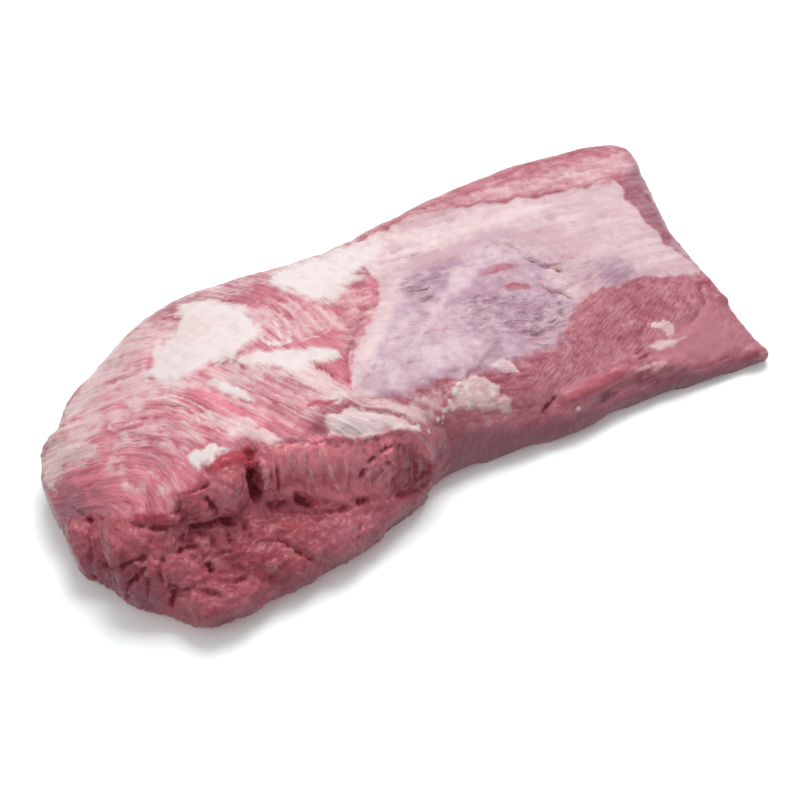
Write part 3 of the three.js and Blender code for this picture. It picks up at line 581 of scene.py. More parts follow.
PATCHES[Tissue.SILVER] = [
    Patch("silver skin", [356, 394, 360, 384, 368, 364, 378, 346, 388, 322, 396, 300, 402, 280, 420, 266,
        446, 258, 470, 250, 492, 240, 520, 246, 545, 262, 566, 286, 578, 304, 572, 320, 566, 338,
        556, 350, 536, 354, 512, 362, 496, 372, 476, 374, 458, 380, 434, 382, 414, 390, 394, 400,
        368, 402], 0.9, 7),
    Patch("silver tint of the band", [420, 262, 450, 240, 490, 224, 530, 232, 566, 252, 590, 264,
        620, 262, 636, 272, 612, 286, 584, 292, 560, 280, 520, 262, 470, 268], 0.45, 9),
    Patch("silver skin in the far fat", [596, 262, 612, 257, 630, 263, 642, 274, 620, 284, 600, 286], 1.1,
        4),
    Patch("ribbon through the silver skin", [450, 290, 450, 300, 434, 324, 420, 344, 406, 366, 394, 388,
        389, 386, 402, 360, 416, 336, 434, 306], -0.4, 4),
    Patch("ribbon through the silver skin, right", [500, 336, 492, 350, 478, 368, 474, 364, 484, 350],
        -0.35, 2.4),
    Patch("pale fold above the low lens", [478, 276, 500, 272, 522, 272, 524, 278, 500, 280, 482, 282],
        -0.5, 2.2),
    Patch("pale of the low corner", [356, 396, 366, 378, 384, 380, 380, 396, 366, 402], -0.4, 5),
    Patch("pale crumbs of the silver skin's edge", [540, 312, 556, 306, 572, 312, 570, 330, 556, 342,
        540, 338], -0.35, 4),
    Patch("pale cells of the panel's corner", [540, 274, 552, 270, 572, 280, 578, 298, 562, 296,
        546, 288], -0.45, 4),
    Patch("silver tint of the left", [120, 430, 160, 412, 190, 420, 196, 446, 186, 470, 150, 480,
        112, 466], 0.3, 8),
    Patch("silver tint of the middle", [236, 362, 290, 370, 286, 392, 250, 392, 226, 376], 0.3, 6),
    Patch("silver tint of the membrane", [326, 412, 352, 408, 392, 414, 416, 428, 388, 431, 344, 437,
        327, 437], 0.15, 3),
]
PATCHES[Tissue.LINED] = [
    Patch("stripes", [120, 424, 146, 400, 170, 390, 200, 394, 220, 410, 224, 430, 200, 440,
        184, 466, 170, 490, 140, 484, 116, 466, 104, 444], 1, 4),
    Patch("middle", [230, 370, 262, 366, 300, 378, 322, 394, 318, 410, 300, 422, 280, 420,
        256, 404, 230, 388], 0.7, 3),
    Patch("upper lean", [256, 296, 300, 298, 340, 310, 336, 334, 296, 340, 268, 330], 0.5, 3),
    Patch("left", [50, 500, 50, 460, 70, 420, 110, 372, 150, 350, 150, 392, 110, 420,
        100, 450, 130, 490, 110, 508, 70, 510], 0.35, 4),
    Patch("notch", [344, 294, 360, 284, 378, 290, 380, 306, 368, 330, 360, 356, 346, 366,
        338, 344], 0.7, 3),
    Patch("flap", [266, 450, 314, 446, 360, 448, 398, 438, 422, 446, 428, 466, 400, 486,
        340, 500, 300, 496, 272, 490], 1, 3),
]
PATCHES[Tissue.STROKED] = [
    Patch("flat", [560, 350, 574, 318, 590, 296, 620, 284, 650, 276, 690, 276, 704, 290,
        694, 316, 672, 326, 654, 330, 650, 346, 620, 362, 590, 378, 556, 392, 530, 384, 540, 362], 1, 4),
    Patch("flat's middle", [470, 440, 500, 410, 530, 384, 556, 392, 550, 416, 510, 440,
        480, 452], 0.5, 5),
    Patch("flat's wall", [444, 450, 470, 428, 520, 424, 580, 414, 600, 402, 640, 384,
        680, 374, 740, 364, 764, 362, 700, 390, 600, 424, 520, 450, 450, 476], 0.6, 4),
    Patch("smooth end", [700, 286, 716, 296, 744, 330, 756, 350, 730, 350, 706, 320], 0.4,
        4),
]
PATCHES[Tissue.SMOOTH] = [
    Patch("end of the flat", [652, 336, 676, 330, 694, 316, 704, 298, 722, 300, 746, 332, 760, 350,
        730, 354, 690, 360, 660, 362, 644, 350], 1, 5),
    Patch("lower part of the flat", [520, 400, 540, 376, 560, 360, 600, 352, 640, 350, 620, 366,
        600, 376, 570, 388, 540, 410], 0.5, 8),
    Patch("wall of the flat", [440, 430, 480, 410, 540, 420, 600, 402, 660, 386, 740, 360,
        760, 362, 700, 386, 600, 420, 520, 446, 450, 470], 0.25, 6),
    Patch("swell of the knuckle", [214, 484, 236, 484, 246, 498, 240, 512, 220, 510], 0.3, 4),
    Patch("right lobe", [336, 514, 372, 507, 404, 500, 428, 488, 420, 512, 396, 534, 356, 556,
        330, 568, 312, 556, 326, 534], 0.35, 6),
    Patch("nose", [182, 604, 200, 592, 240, 592, 290, 580, 330, 566, 300, 592, 250, 614, 210, 624,
        188, 618], 0.2, 5),
    Patch("far strip", FAR_STRIP, 0.7, 5),
]
PATCHES[Tissue.TORN] = [
    Patch("cut face", [178, 494, 192, 486, 204, 472, 212, 462, 226, 454, 250, 449, 262, 446, 288, 443,
        314, 441, 336, 438, 360, 442, 376, 438, 398, 430, 414, 434, 426, 444, 434, 458, 436, 472,
        426, 486, 470, 500, 440, 560, 340, 620, 200, 660, 60, 640, 40, 560, 62, 519, 76, 518, 84, 514,
        94, 512, 110, 515, 128, 518, 142, 513, 162, 511, 177, 512], 1, 1.4),
]

# Lines and spots: the name, the line, the half width and the blood.
VEINS = [
    Vein("seam of fat", [259, 335, 266, 341, 276, 343, 290, 341], 1.5),
    Vein("seam of fat, right", [290, 341, 306, 339, 318, 336, 330, 330], 0.6),
    Vein("arc of fat", [263, 304, 271, 314, 277, 326, 281, 338], 0.6),
    Vein("arc of fat, right", [272, 302, 281, 312, 288, 326, 291, 338], 0.5),
    Vein("arc of fat, far right", [284, 304, 293, 316, 298, 330], 0.4),
    Vein("stripe arc, first", [152, 399, 166, 399, 182, 404, 194, 412, 200, 424], 0.5),
    Vein("stripe arc, second", [164, 395, 184, 398, 202, 408, 214, 420], 0.5),
    Vein("drip of fat", [437, 421, 439, 419], 1.4),
    Vein("drip of fat, second", [444, 411, 446, 409], 1.5),
    Vein("drip of fat, third", [449, 403, 451, 401], 1.3),
    Vein("drip of fat, fourth", [454, 394, 457, 391], 1.8),
    Vein("dot of fat", [417, 426, 418, 427], 1.2),
    Vein("dot of fat, right", [428, 430, 429, 432], 1.1),
    Vein("dot on the flat's wall", [577, 408, 579, 409], 1.1),
    Vein("edge of the strip", [352, 344, 350, 358, 351, 372], 0.4),
    Vein("blood by the notch", [348, 374, 349, 382], 1.6, 0.9),
    Vein("blood under the band", [308, 406, 318, 402, 326, 403, 337, 400], 1.3, 1.4),
    Vein("blood, upper left", [206, 444, 210, 443], 1, 0.9),
    Vein("blood under the patch", [232, 358, 238, 353, 245, 349], 0.7, 0.9),
    Vein("lens of lean", [481, 273, 496, 268, 516, 265], 4.2, 0.6),
    Vein("lens of lean, low", [506, 287, 518, 287, 529, 287], 4.6, 0.55),
    Vein("streak of lean", [410, 325, 417, 322, 424, 320], 1.8, 0.55),
    Vein("streak of lean, middle", [424, 334, 436, 330, 452, 329], 1.8, 0.5),
    Vein("streak of lean, right", [512, 333, 526, 328], 2.2, 0.5),
    Vein("streak of lean, last", [528, 341, 546, 338], 2, 0.5),
    Vein("filament, first", [364, 480, 369, 472, 373, 464, 376, 456], 0.5, film=0.8),
    Vein("filament, second", [377, 481, 384, 472, 392, 464], 0.5, film=0.7),
    Vein("filament, third", [380, 463, 381, 456, 383, 450], 0.4, film=0.6),
    Vein("filament of the face", [303, 452, 306, 464, 310, 476], 0.4, film=0.6),
    Vein("filament of the face, low", [310, 470, 314, 480, 318, 492], 0.7, film=0.9),
    Vein("filament of the face, middle", [344, 456, 347, 470, 346, 486], 0.5, film=0.8),
    Vein("filament of the face, far", [352, 462, 352, 476, 350, 490], 0.5, film=0.4),
    Vein("pale edge of the flap", [262, 447, 276, 445, 290, 445, 302, 443, 314, 442, 328, 439], 0.5,
        film=0.75),
    Vein("pale edge of the tip", [362, 441, 368, 437, 378, 436, 388, 432, 398, 430, 408, 431, 418, 435,
        427, 444, 433, 455], 0.6, film=0.7),
    Vein("filament of the face, right", [328, 464, 332, 474, 338, 488], 0.9, film=0.75),
    Vein("red of the cleft", [247, 447, 250, 456, 252, 464], 3, 0.8),
    Vein("red of the gap", [306, 495, 313, 500, 319, 505], 2.4, 0.8),
    Vein("red of the rim", [404, 434, 416, 437, 424, 446, 430, 456], 2, 0.35),
    Vein("red of the knuckle", [214, 466, 226, 460, 238, 456, 246, 459, 249, 470], 4.6, 0.9),
    Vein("red of the knuckle's edge", [188, 494, 198, 480, 210, 468], 3.4, 0.45),
    Vein("red of the knuckle's foot", [200, 500, 214, 508, 232, 512], 6, 0.4),
    Vein("red of the wedge", [308, 361, 322, 365, 334, 371, 345, 380], 2.6, 0.5),
    Vein("red of the tip", [426, 466, 431, 467, 434, 462], 2.2, 0.7),
    Vein("red of the lip", [137, 517, 150, 518, 168, 519], 3.4, 0.7),
    Vein("red of the flat's lip", [562, 400, 580, 392, 600, 383, 622, 374], 5, 0.55),
    Vein("red of the left lobe", [68, 522, 72, 532], 3.2, 0.6),
]

CRUMBS = [
    Crumbs("crumbs of the crumbly patch", [462, 388, 484, 376, 500, 388, 508, 404, 490, 410, 464, 408], 6,
        1.3),
    Crumbs("crumbs in the streak", [434, 424, 446, 402, 458, 382, 468, 384, 458, 402, 444, 424], 14, 1.1),
]

# Lines along the fibres, all drawn the way the coordinate along the grain grows.
GRAIN_LINES = [
    # On the left side.
    [46, 470, 60, 446, 86, 428, 116, 414, 150, 404, 180, 408, 200, 424, 216, 444],
    [52, 500, 70, 476, 100, 456, 130, 444, 160, 448, 184, 464, 200, 480],
    [76, 506, 100, 488, 130, 478, 156, 486, 176, 500],
    [72, 420, 100, 390, 130, 372, 160, 366, 190, 374, 230, 386, 270, 406, 310, 430],
    [100, 372, 130, 340, 160, 320, 200, 314, 240, 330, 280, 350, 320, 362, 360, 392],
    [140, 330, 190, 300, 240, 290, 262, 300, 280, 330, 292, 350],
    [240, 282, 276, 280, 300, 300, 310, 340],
    # On the far fat.
    [290, 276, 330, 262, 372, 244, 420, 232, 480, 216, 560, 198, 630, 184],
    [360, 292, 392, 286, 420, 276, 450, 264, 490, 252],
    # On the silver skin.
    [360, 360, 390, 336, 420, 326, 460, 326],
    [396, 298, 420, 286, 444, 276],
    [370, 392, 394, 372, 430, 356, 470, 342, 500, 336],
    [470, 310, 500, 308, 530, 306, 560, 300],
    [520, 346, 540, 334, 560, 316],
    # On the flat.
    [430, 430, 444, 404, 462, 378, 490, 350],
    [470, 440, 500, 410, 530, 380, 556, 356],
    [630, 370, 646, 344, 660, 322],
    [680, 360, 710, 340, 730, 316],
    [440, 480, 500, 440, 560, 412, 620, 394, 700, 368, 760, 356],
    [500, 262, 536, 268, 566, 272],
    [560, 382, 578, 350, 594, 316],
    [590, 362, 610, 326, 626, 290],
    [620, 366, 640, 330, 656, 288],
    [652, 356, 670, 322, 684, 286],
    # On the far strip and the panel.
    [400, 226, 460, 196, 540, 164, 620, 146],
    [560, 240, 600, 246, 640, 250, 684, 258],
    [560, 212, 600, 206, 644, 206],
    # On the torn face.
    [264, 446, 264, 470, 266, 496],
    [296, 446, 300, 470, 310, 500],
    [330, 444, 334, 470, 342, 498],
    [360, 446, 358, 470, 360, 496],
    [408, 440, 388, 464, 376, 494],
    [430, 452, 416, 470, 396, 494],
    [210, 470, 206, 490, 204, 514],
    [240, 470, 240, 490, 238, 512],
    [100, 520, 106, 550, 116, 590],
    [140, 530, 140, 560, 142, 600],
    [66, 520, 74, 550, 92, 580],
    [220, 560, 250, 552, 286, 552, 316, 566],
    [230, 590, 270, 576, 310, 570],
    [266, 514, 284, 528, 300, 546],
    [330, 514, 338, 540, 330, 566],
    [372, 508, 368, 530, 358, 552],
    [404, 500, 400, 518, 392, 530],
    [186, 610, 220, 606, 260, 592, 310, 578],
]

# Where the mesh is finer, for the small forms that the camera sees.
FINE_ZONES = {
    "torn face and stripes": [20, 640, 20, 440, 60, 380, 150, 392, 220, 396, 330, 400, 450, 420, 470, 500,
        300, 640],
    "silver skin": [350, 392, 352, 356, 380, 298, 440, 262, 500, 240, 560, 262, 590, 290, 574, 330,
        556, 352, 500, 378, 400, 402],
    "streaks": [356, 274, 356, 262, 400, 246, 440, 236, 478, 220, 484, 232, 450, 250, 420, 262, 380, 274],
    "rolled edge": [572, 392, 604, 366, 630, 334, 668, 330, 672, 372, 640, 384, 600, 408, 578, 412],
}


def noise_at(points: Array, seed: int) -> Array:
    """Smooth gradient noise, about -0.7 to 0.7, with features one unit wide.

    Args:
        points: Places in noise units, one to a row, with three columns.
        seed: Picks the pattern.

    Returns:
        One value for each place.
    """
    draw = np.random.default_rng(SEED + seed)
    order = draw.permutation(NOISE_CELLS)
    slopes = draw.normal(size=(NOISE_CELLS, 3))
    slopes /= np.linalg.norm(slopes, axis=1, keepdims=True)
    cell = np.floor(points).astype(np.int64)
    inside = points - cell
    fade = inside**3 * (inside * (inside * 6 - 15) + 10)
    total = np.zeros(len(points))
    for corner in np.ndindex(2, 2, 2):
        at = (cell + corner) % NOISE_CELLS
        row = order[(order[at[:, 0]] + at[:, 1]) % NOISE_CELLS]
        pick = order[(row + at[:, 2]) % NOISE_CELLS]
        weight = np.prod(np.where(corner, fade, 1 - fade), axis=1)
        total += weight * np.einsum("ij,ij->i", slopes[pick], inside - corner)
    return total


def layered_noise(points: Array, seed: int, layers: int) -> Array:
    """Noise with finer and weaker layers on top, each half as wide and half as strong."""
    return sum(noise_at(points * 2**n, seed + n) / 2**n for n in range(layers))


def smoothstep(low: float, high: float, value: Array) -> Array:
    """Rises smoothly from 0 at low to 1 at high."""
    t = np.clip((value - low) / (high - low), 0, 1)
    return t * t * (3 - 2 * t)


def pairs(line: Line) -> Array:
    """The pixels of a drawn line, one to a row."""
    return np.array(line, float).reshape(-1, 2)


def raise_to(values: Array, chosen: Array, amount: Array) -> None:
    """Raises the chosen values to an amount, where they are below it."""
    values[chosen] = np.maximum(values[chosen], amount)


def curve_through(line: Line, spacing: float) -> Array:
    """Points on a smooth curve through the points of a drawn line.

    Args:
        line: Pixels of the photograph.
        spacing: The distance between the points, in pixels.

    Returns:
        Pixels, one to a row.
    """
    knots = pairs(line)
    if len(knots) == 1:
        return knots
    before = 2 * knots[0] - knots[1]
    after = 2 * knots[-1] - knots[-2]
    padded = np.vstack([before, knots, after])
    pieces = []
    for a, b, c, d in zip(padded, padded[1:], padded[2:], padded[3:]):
        steps = max(2, int(np.linalg.norm(c - b) / spacing))
        t = np.linspace(0, 1, steps, endpoint=False)[:, None]
        pieces.append(0.5 * (2 * b + (c - a) * t + (2 * a - 5 * b + 4 * c - d) * t**2
                             + (3 * b - a - 3 * c + d) * t**3))
    return np.vstack(pieces + [knots[-1:]])


def inset_from(outline: Line, places: Array) -> Array:
    """Measures places against an outline, in pixels.

    Args:
        outline: The outline, drawn on the photograph.
        places: The places, one to a row.

    Returns:
        How far each place lies inside the outline, negative outside it.
    """
    ring = pairs(outline)
    inside = np.zeros(len(places), bool)
    least = np.full(len(places), np.inf)
    for a, b in zip(ring, np.roll(ring, -1, axis=0)):
        along = b - a
        from_a = places - a
        share = np.clip(from_a @ along / (along @ along), 0, 1)[:, None]
        least = np.minimum(least, np.linalg.norm(from_a - share * along, axis=1))
        spans = (a[1] > places[:, 1]) != (b[1] > places[:, 1])
        rise = along[1] if along[1] != 0 else 1.0
        crossing = a[0] + along[0] * (places[:, 1] - a[1]) / rise
        inside ^= spans & (places[:, 0] < crossing)
    return np.where(inside, least, -least)


def distance_to(line: Array, points: Array) -> tuple[Array, Array]:
    """Measures points against a line in space.

    Args:
        line: The line's points, one to a row.
        points: The points to measure, in the same unit.

    Returns:
        How far each point lies from the line, and where along it the nearest place is, from 0 to 1.
    """
    least = np.linalg.norm(points - line[0], axis=1)
    where = np.zeros(len(points))
    for n, (a, b) in enumerate(zip(line, line[1:])):
        along = b - a
        from_a = points - a
        share = np.clip(from_a @ along / max(along @ along, 1e-12), 0, 1)
        apart = np.linalg.norm(from_a - share[:, None] * along, axis=1)
        where = np.where(apart < least, (n + share) / (len(line) - 1), where)
        least = np.minimum(least, apart)
    return least, where


@dataclass
class Grain:
    """Two coordinates that run along and across the meat's fibres, in pixels of the photograph.

    The fibres' direction is spread from a few drawn lines over a grid, and each coordinate is the
    smooth height whose slope follows it best.
    """

    view: PhotoView
    cells: int = 200
    sample_px: float = 6.0
    softness_px: float = 9.0
    along: Array = field(init=False)
    across: Array = field(init=False)

    def __post_init__(self) -> None:
        """Works out both coordinates on the grid."""
        slope = self.direction()
        turned = np.stack([-slope[..., 1], slope[..., 0]], axis=-1)
        self.along = self.height_of(slope)
        self.across = self.height_of(turned)

    @property
    def cell_px(self) -> float:
        """The width of a grid cell in pixels."""
        return self.view.frame_px / self.cells

    def direction(self) -> Array:
        """Spreads the drawn lines' directions over the grid, the nearest lines foremost.

        Returns:
            The fibres' direction at each grid point, as a unit vector.
        """
        middles = (np.arange(self.cells) + 0.5) * self.cell_px
        x, y = np.meshgrid(middles, middles, indexing="ij")
        total = np.zeros((self.cells, self.cells, 2))
        for line in GRAIN_LINES:
            points = curve_through(line, self.sample_px)
            for a, b in zip(points, points[1:]):
                step = (b - a) / max(np.linalg.norm(b - a), 1e-9)
                middle = (a + b) / 2
                apart = (x - middle[0]) ** 2 + (y - middle[1]) ** 2 + self.softness_px**2
                total += (1 / apart**2)[..., None] * step
        return total / np.linalg.norm(total, axis=-1, keepdims=True)

    def height_of(self, slope: Array) -> Array:
        """The height whose slope is nearest to the one given, by least squares on the grid.

        Args:
            slope: The wanted slope at each grid point.

        Returns:
            The height at each grid point, in pixels.
        """
        n = self.cells
        wanted = np.zeros((n, n))
        for axis in (0, 1):
            part = np.moveaxis(slope[..., axis], axis, 0)
            rise = (part[1:] + part[:-1]) / 2 * self.cell_px
            flow = np.moveaxis(wanted, axis, 0)
            flow[:-1] += rise
            flow[1:] -= rise
        mirrored = np.block([[wanted, wanted[:, ::-1]], [wanted[::-1], wanted[::-1, ::-1]]])
        waves = 2 * np.cos(np.pi * np.fft.fftfreq(2 * n) * 2) - 2
        scale = waves[:, None] + waves[None, :]
        scale[0, 0] = 1
        found = np.fft.fft2(mirrored) / scale
        found[0, 0] = 0
        return np.real(np.fft.ifft2(found))[:n, :n]

    def at(self, grid: Array, places: Array) -> Array:
        """Reads one of the coordinates between the grid points.

        Args:
            grid: The coordinate on the grid.
            places: Pixels of the photograph, one to a row.

        Returns:
            Its value at each pixel.
        """
        spot = np.clip(places / self.cell_px - 0.5, 0, self.cells - 1.001)
        low = spot.astype(int)
        t = spot - low
        x, y = low.T
        left = grid[x, y] * (1 - t[:, 1]) + grid[x, y + 1] * t[:, 1]
        right = grid[x + 1, y] * (1 - t[:, 1]) + grid[x + 1, y + 1] * t[:, 1]
        return left * (1 - t[:, 0]) + right * t[:, 0]


class Value:
    """A number socket of a material that takes part in Python expressions."""

    def __init__(self, kit: "NodeKit", socket: Socket) -> None:
        """Wraps an output socket."""
        self.kit = kit
        self.socket = socket

    def math(self, operation: str, *others: "Value | float") -> "Value":
        """The result of a Math node on this value and others."""
        return self.kit.math(operation, self, *others)

    def __add__(self, other: "Value | float") -> "Value":
        """This value and another, added."""
        return self.math("ADD", other)

    __radd__ = __add__

    def __sub__(self, other: "Value | float") -> "Value":
        """This value less another."""
        return self.math("SUBTRACT", other)

    def __rsub__(self, other: float) -> "Value":
        """Another value less this one."""
        return self.kit.math("SUBTRACT", other, self)

    def __mul__(self, other: "Value | float") -> "Value":
        """This value times another."""
        return self.math("MULTIPLY", other)

    __rmul__ = __mul__

    def __truediv__(self, other: "Value | float") -> "Value":
        """This value divided by another."""
        return self.math("DIVIDE", other)

    def ramp(self, low: float, high: float) -> "Value":
        """A smooth rise from 0 where this value is low to 1 where it is high."""
        return Value(self.kit, self.kit.add("ShaderNodeMapRange", {"interpolation_type": "SMOOTHSTEP"},
                                            {"Value": self, "From Min": low, "From Max": high}))


class NodeKit:
    """Adds the nodes of one material, or of the sky."""

    def __init__(self, owner: bpy.types.Material | bpy.types.World) -> None:
        """Empties the owner's nodes.

        Args:
            owner: The material or the world.
        """
        owner.use_nodes = True
        self.tree = owner.node_tree
        self.tree.nodes.clear()

    def add(self, kind: str, settings: dict[str, object] | None = None,
            sockets: dict[str, object] | None = None, output: str | int = 0) -> Socket:
        """Adds a node.

        Args:
            kind: The node's type.
            settings: Its settings, set before its sockets.
            sockets: A value or a link for each socket, by name or identifier.
            output: Which output to give back, by name, identifier or number.

        Returns:
            The chosen output socket, or the node itself where it has none.
        """
        node = self.tree.nodes.new(kind)
        for key, value in (settings or {}).items():
            setattr(node, key, value)
        for key, value in (sockets or {}).items():
            self.plug(self.find(node.inputs, key), value)
        return self.find(node.outputs, output) if node.outputs else node

    @staticmethod
    def find(sockets: bpy.types.bpy_prop_collection, key: str | int) -> Socket:
        """Finds a socket.

        Args:
            sockets: A node's inputs or outputs.
            key: The socket's identifier, name or number.

        Returns:
            The socket.
        """
        if isinstance(key, int):
            return sockets[key]
        return next((s for s in sockets if s.identifier == key), None) or sockets[key]

    def plug(self, socket: Socket, value: object) -> None:
        """Gives an input its value.

        Args:
            socket: The input.
            value: A value or an output to link, or a number or a colour to set.
        """
        if isinstance(value, Value):
            value = value.socket
        if isinstance(value, Socket):
            self.tree.links.new(value, socket)
        else:
            socket.default_value = value

    def math(self, operation: str, *terms: "Value | float") -> Value:
        """The result of a Math node."""
        return Value(self, self.add("ShaderNodeMath", {"operation": operation}, dict(enumerate(terms))))

    def attribute(self, name: str) -> Value:
        """A number painted on the mesh."""
        return Value(self, self.add("ShaderNodeAttribute", {"attribute_name": name}, output="Fac"))

    def vector(self, x: "Value | float", y: "Value | float", z: "Value | float") -> Socket:
        """A vector of three values."""
        return self.add("ShaderNodeCombineXYZ", None, {"X": x, "Y": y, "Z": z})

    def scaled(self, vector: Socket, factor: float) -> Socket:
        """A vector made longer."""
        return self.add("ShaderNodeVectorMath", {"operation": "SCALE"}, {0: vector, "Scale": factor})

    def part(self, vector: Socket, axis: str) -> Value:
        """A vector's X, Y or Z."""
        return Value(self, self.add("ShaderNodeSeparateXYZ", None, {0: vector}, output=axis))

    def noise(self, vector: Socket, detail: float = 3.0, roughness: float = 0.55) -> Value:
        """Noise about 0, with features one unit of the vector wide."""
        sockets = {"Vector": vector, "Scale": 1.0, "Detail": detail, "Roughness": roughness}
        return Value(self, self.add("ShaderNodeTexNoise", None, sockets, output="Fac")) - 0.5

    def mix(self, factor: "Value | float", a: object, b: object) -> Socket:
        """A colour between two colours."""
        return self.add("ShaderNodeMix", {"data_type": "RGBA"},
                        {"Factor_Float": factor, "A_Color": a, "B_Color": b}, output="Result_Color")


def colour(red: int, green: int, blue: int) -> tuple[float, float, float, float]:
    """Makes a colour for the shader from the numbers that a screen shows it with.

    Args:
        red: From 0 to 255, as are the other two.
        green: The green share.
        blue: The blue share.

    Returns:
        The linear colour, with an opacity of 1.
    """
    shares = (red / 255, green / 255, blue / 255)
    linear = [c / 12.92 if c <= 0.04045 else ((c + 0.055) / 1.055) ** 2.4 for c in shares]
    return (*linear, 1.0)


@dataclass(frozen=True)
class Weave:
    """A noise drawn out along the grain.

    Along and across are the widths of its features in millimetres. The layer keeps it apart from
    the other noises, and detail and roughness say how many finer features it has and how strong.
    """

    along: float
    across: float
    layer: float
    detail: float = 3.0
    roughness: float = 0.55


@dataclass(frozen=True)
class MeatFinish:
    """Moist raw beef: lean with fibres, cream fat, pale and bluish skins and a bloody cut face.

    Sizes and the sway are in millimetres, the bump's height and the scatter's radius in metres. A
    heading is the direction on the floor, right and away, in which the strokes or the torn wall run.
    """

    lean_pale: tuple = colour(206, 138, 150)
    lean_deep: tuple = colour(160, 78, 94)
    film: tuple = colour(242, 216, 214)
    film_shade: tuple = colour(220, 172, 180)
    sheet: tuple = colour(240, 216, 216)
    sheet_shade: tuple = colour(210, 174, 182)
    fat: tuple = colour(240, 228, 226)
    fat_shade: tuple = colour(232, 211, 209)
    # The silver skin's pale and purple: the purple partly painted shade in its wrinkles' grooves, the pale
    # partly painted light on their crests.
    silver: tuple = colour(231, 205, 214)
    silver_deep_and_shade: tuple = colour(178, 136, 159)
    torn_pale: tuple = colour(203, 112, 124)
    torn_deep: tuple = colour(152, 56, 70)
    bloom: tuple = colour(238, 140, 154)
    # A mauve tint of the skins, and painted shade on the flat's near wall.
    dusk: tuple = colour(138, 90, 108)
    blood: tuple = colour(192, 62, 80)
    # Painted shade, dark red, that darkens the creases and the hollows of the relief.
    hollow: tuple = colour(112, 20, 34)
    # The strokes' dark grain, partly painted shade in their grooves.
    stroke: tuple = colour(140, 60, 76)
    # The hairlines' dark grain, partly painted shade in their grooves.
    hairline_grain_and_shade: tuple = colour(184, 106, 120)
    blush: tuple = colour(200, 132, 146)
    # The flap's pale strands, partly painted light on their crests.
    strand: tuple = colour(232, 164, 170)
    fibres: Weave = Weave(11.0, 1.3, 0.0, 2, 0.5)
    bundles: Weave = Weave(27.0, 4.8, 7.0)
    streaks: Weave = Weave(17.0, 3.2, 3.0, 3, 0.5)
    bands: Weave = Weave(48.0, 4.4, 9.0)
    hairs: Weave = Weave(24.0, 2.5, 5.0, 2, 0.5)
    wrinkles: Weave = Weave(12.0, 2.1, 11.0)
    strokes: Weave = Weave(7.0, 2.1, 13.0, 2, 0.5)
    stroke_heading: tuple[float, float] = (0.896, 0.444)
    strand_size: tuple[float, float] = (2.3, 14.0)
    wall_heading: tuple[float, float] = (0.879, -0.477)
    wave_size: float = 16.0
    ripple_size: float = 6.0
    sway: float = 2.2
    mottle_size: float = 6.0
    cloud_size: float = 26.0
    grain_size: float = 2.6
    speck_size: float = 1.4
    bump_strength: float = 0.8
    bump_height: float = 0.0015
    scatter_weight: float = 0.10
    scatter_radius: tuple[float, float, float] = (0.002, 0.0008, 0.0006)
    specular: float = 0.2
    gloss_roughness: float = 0.1


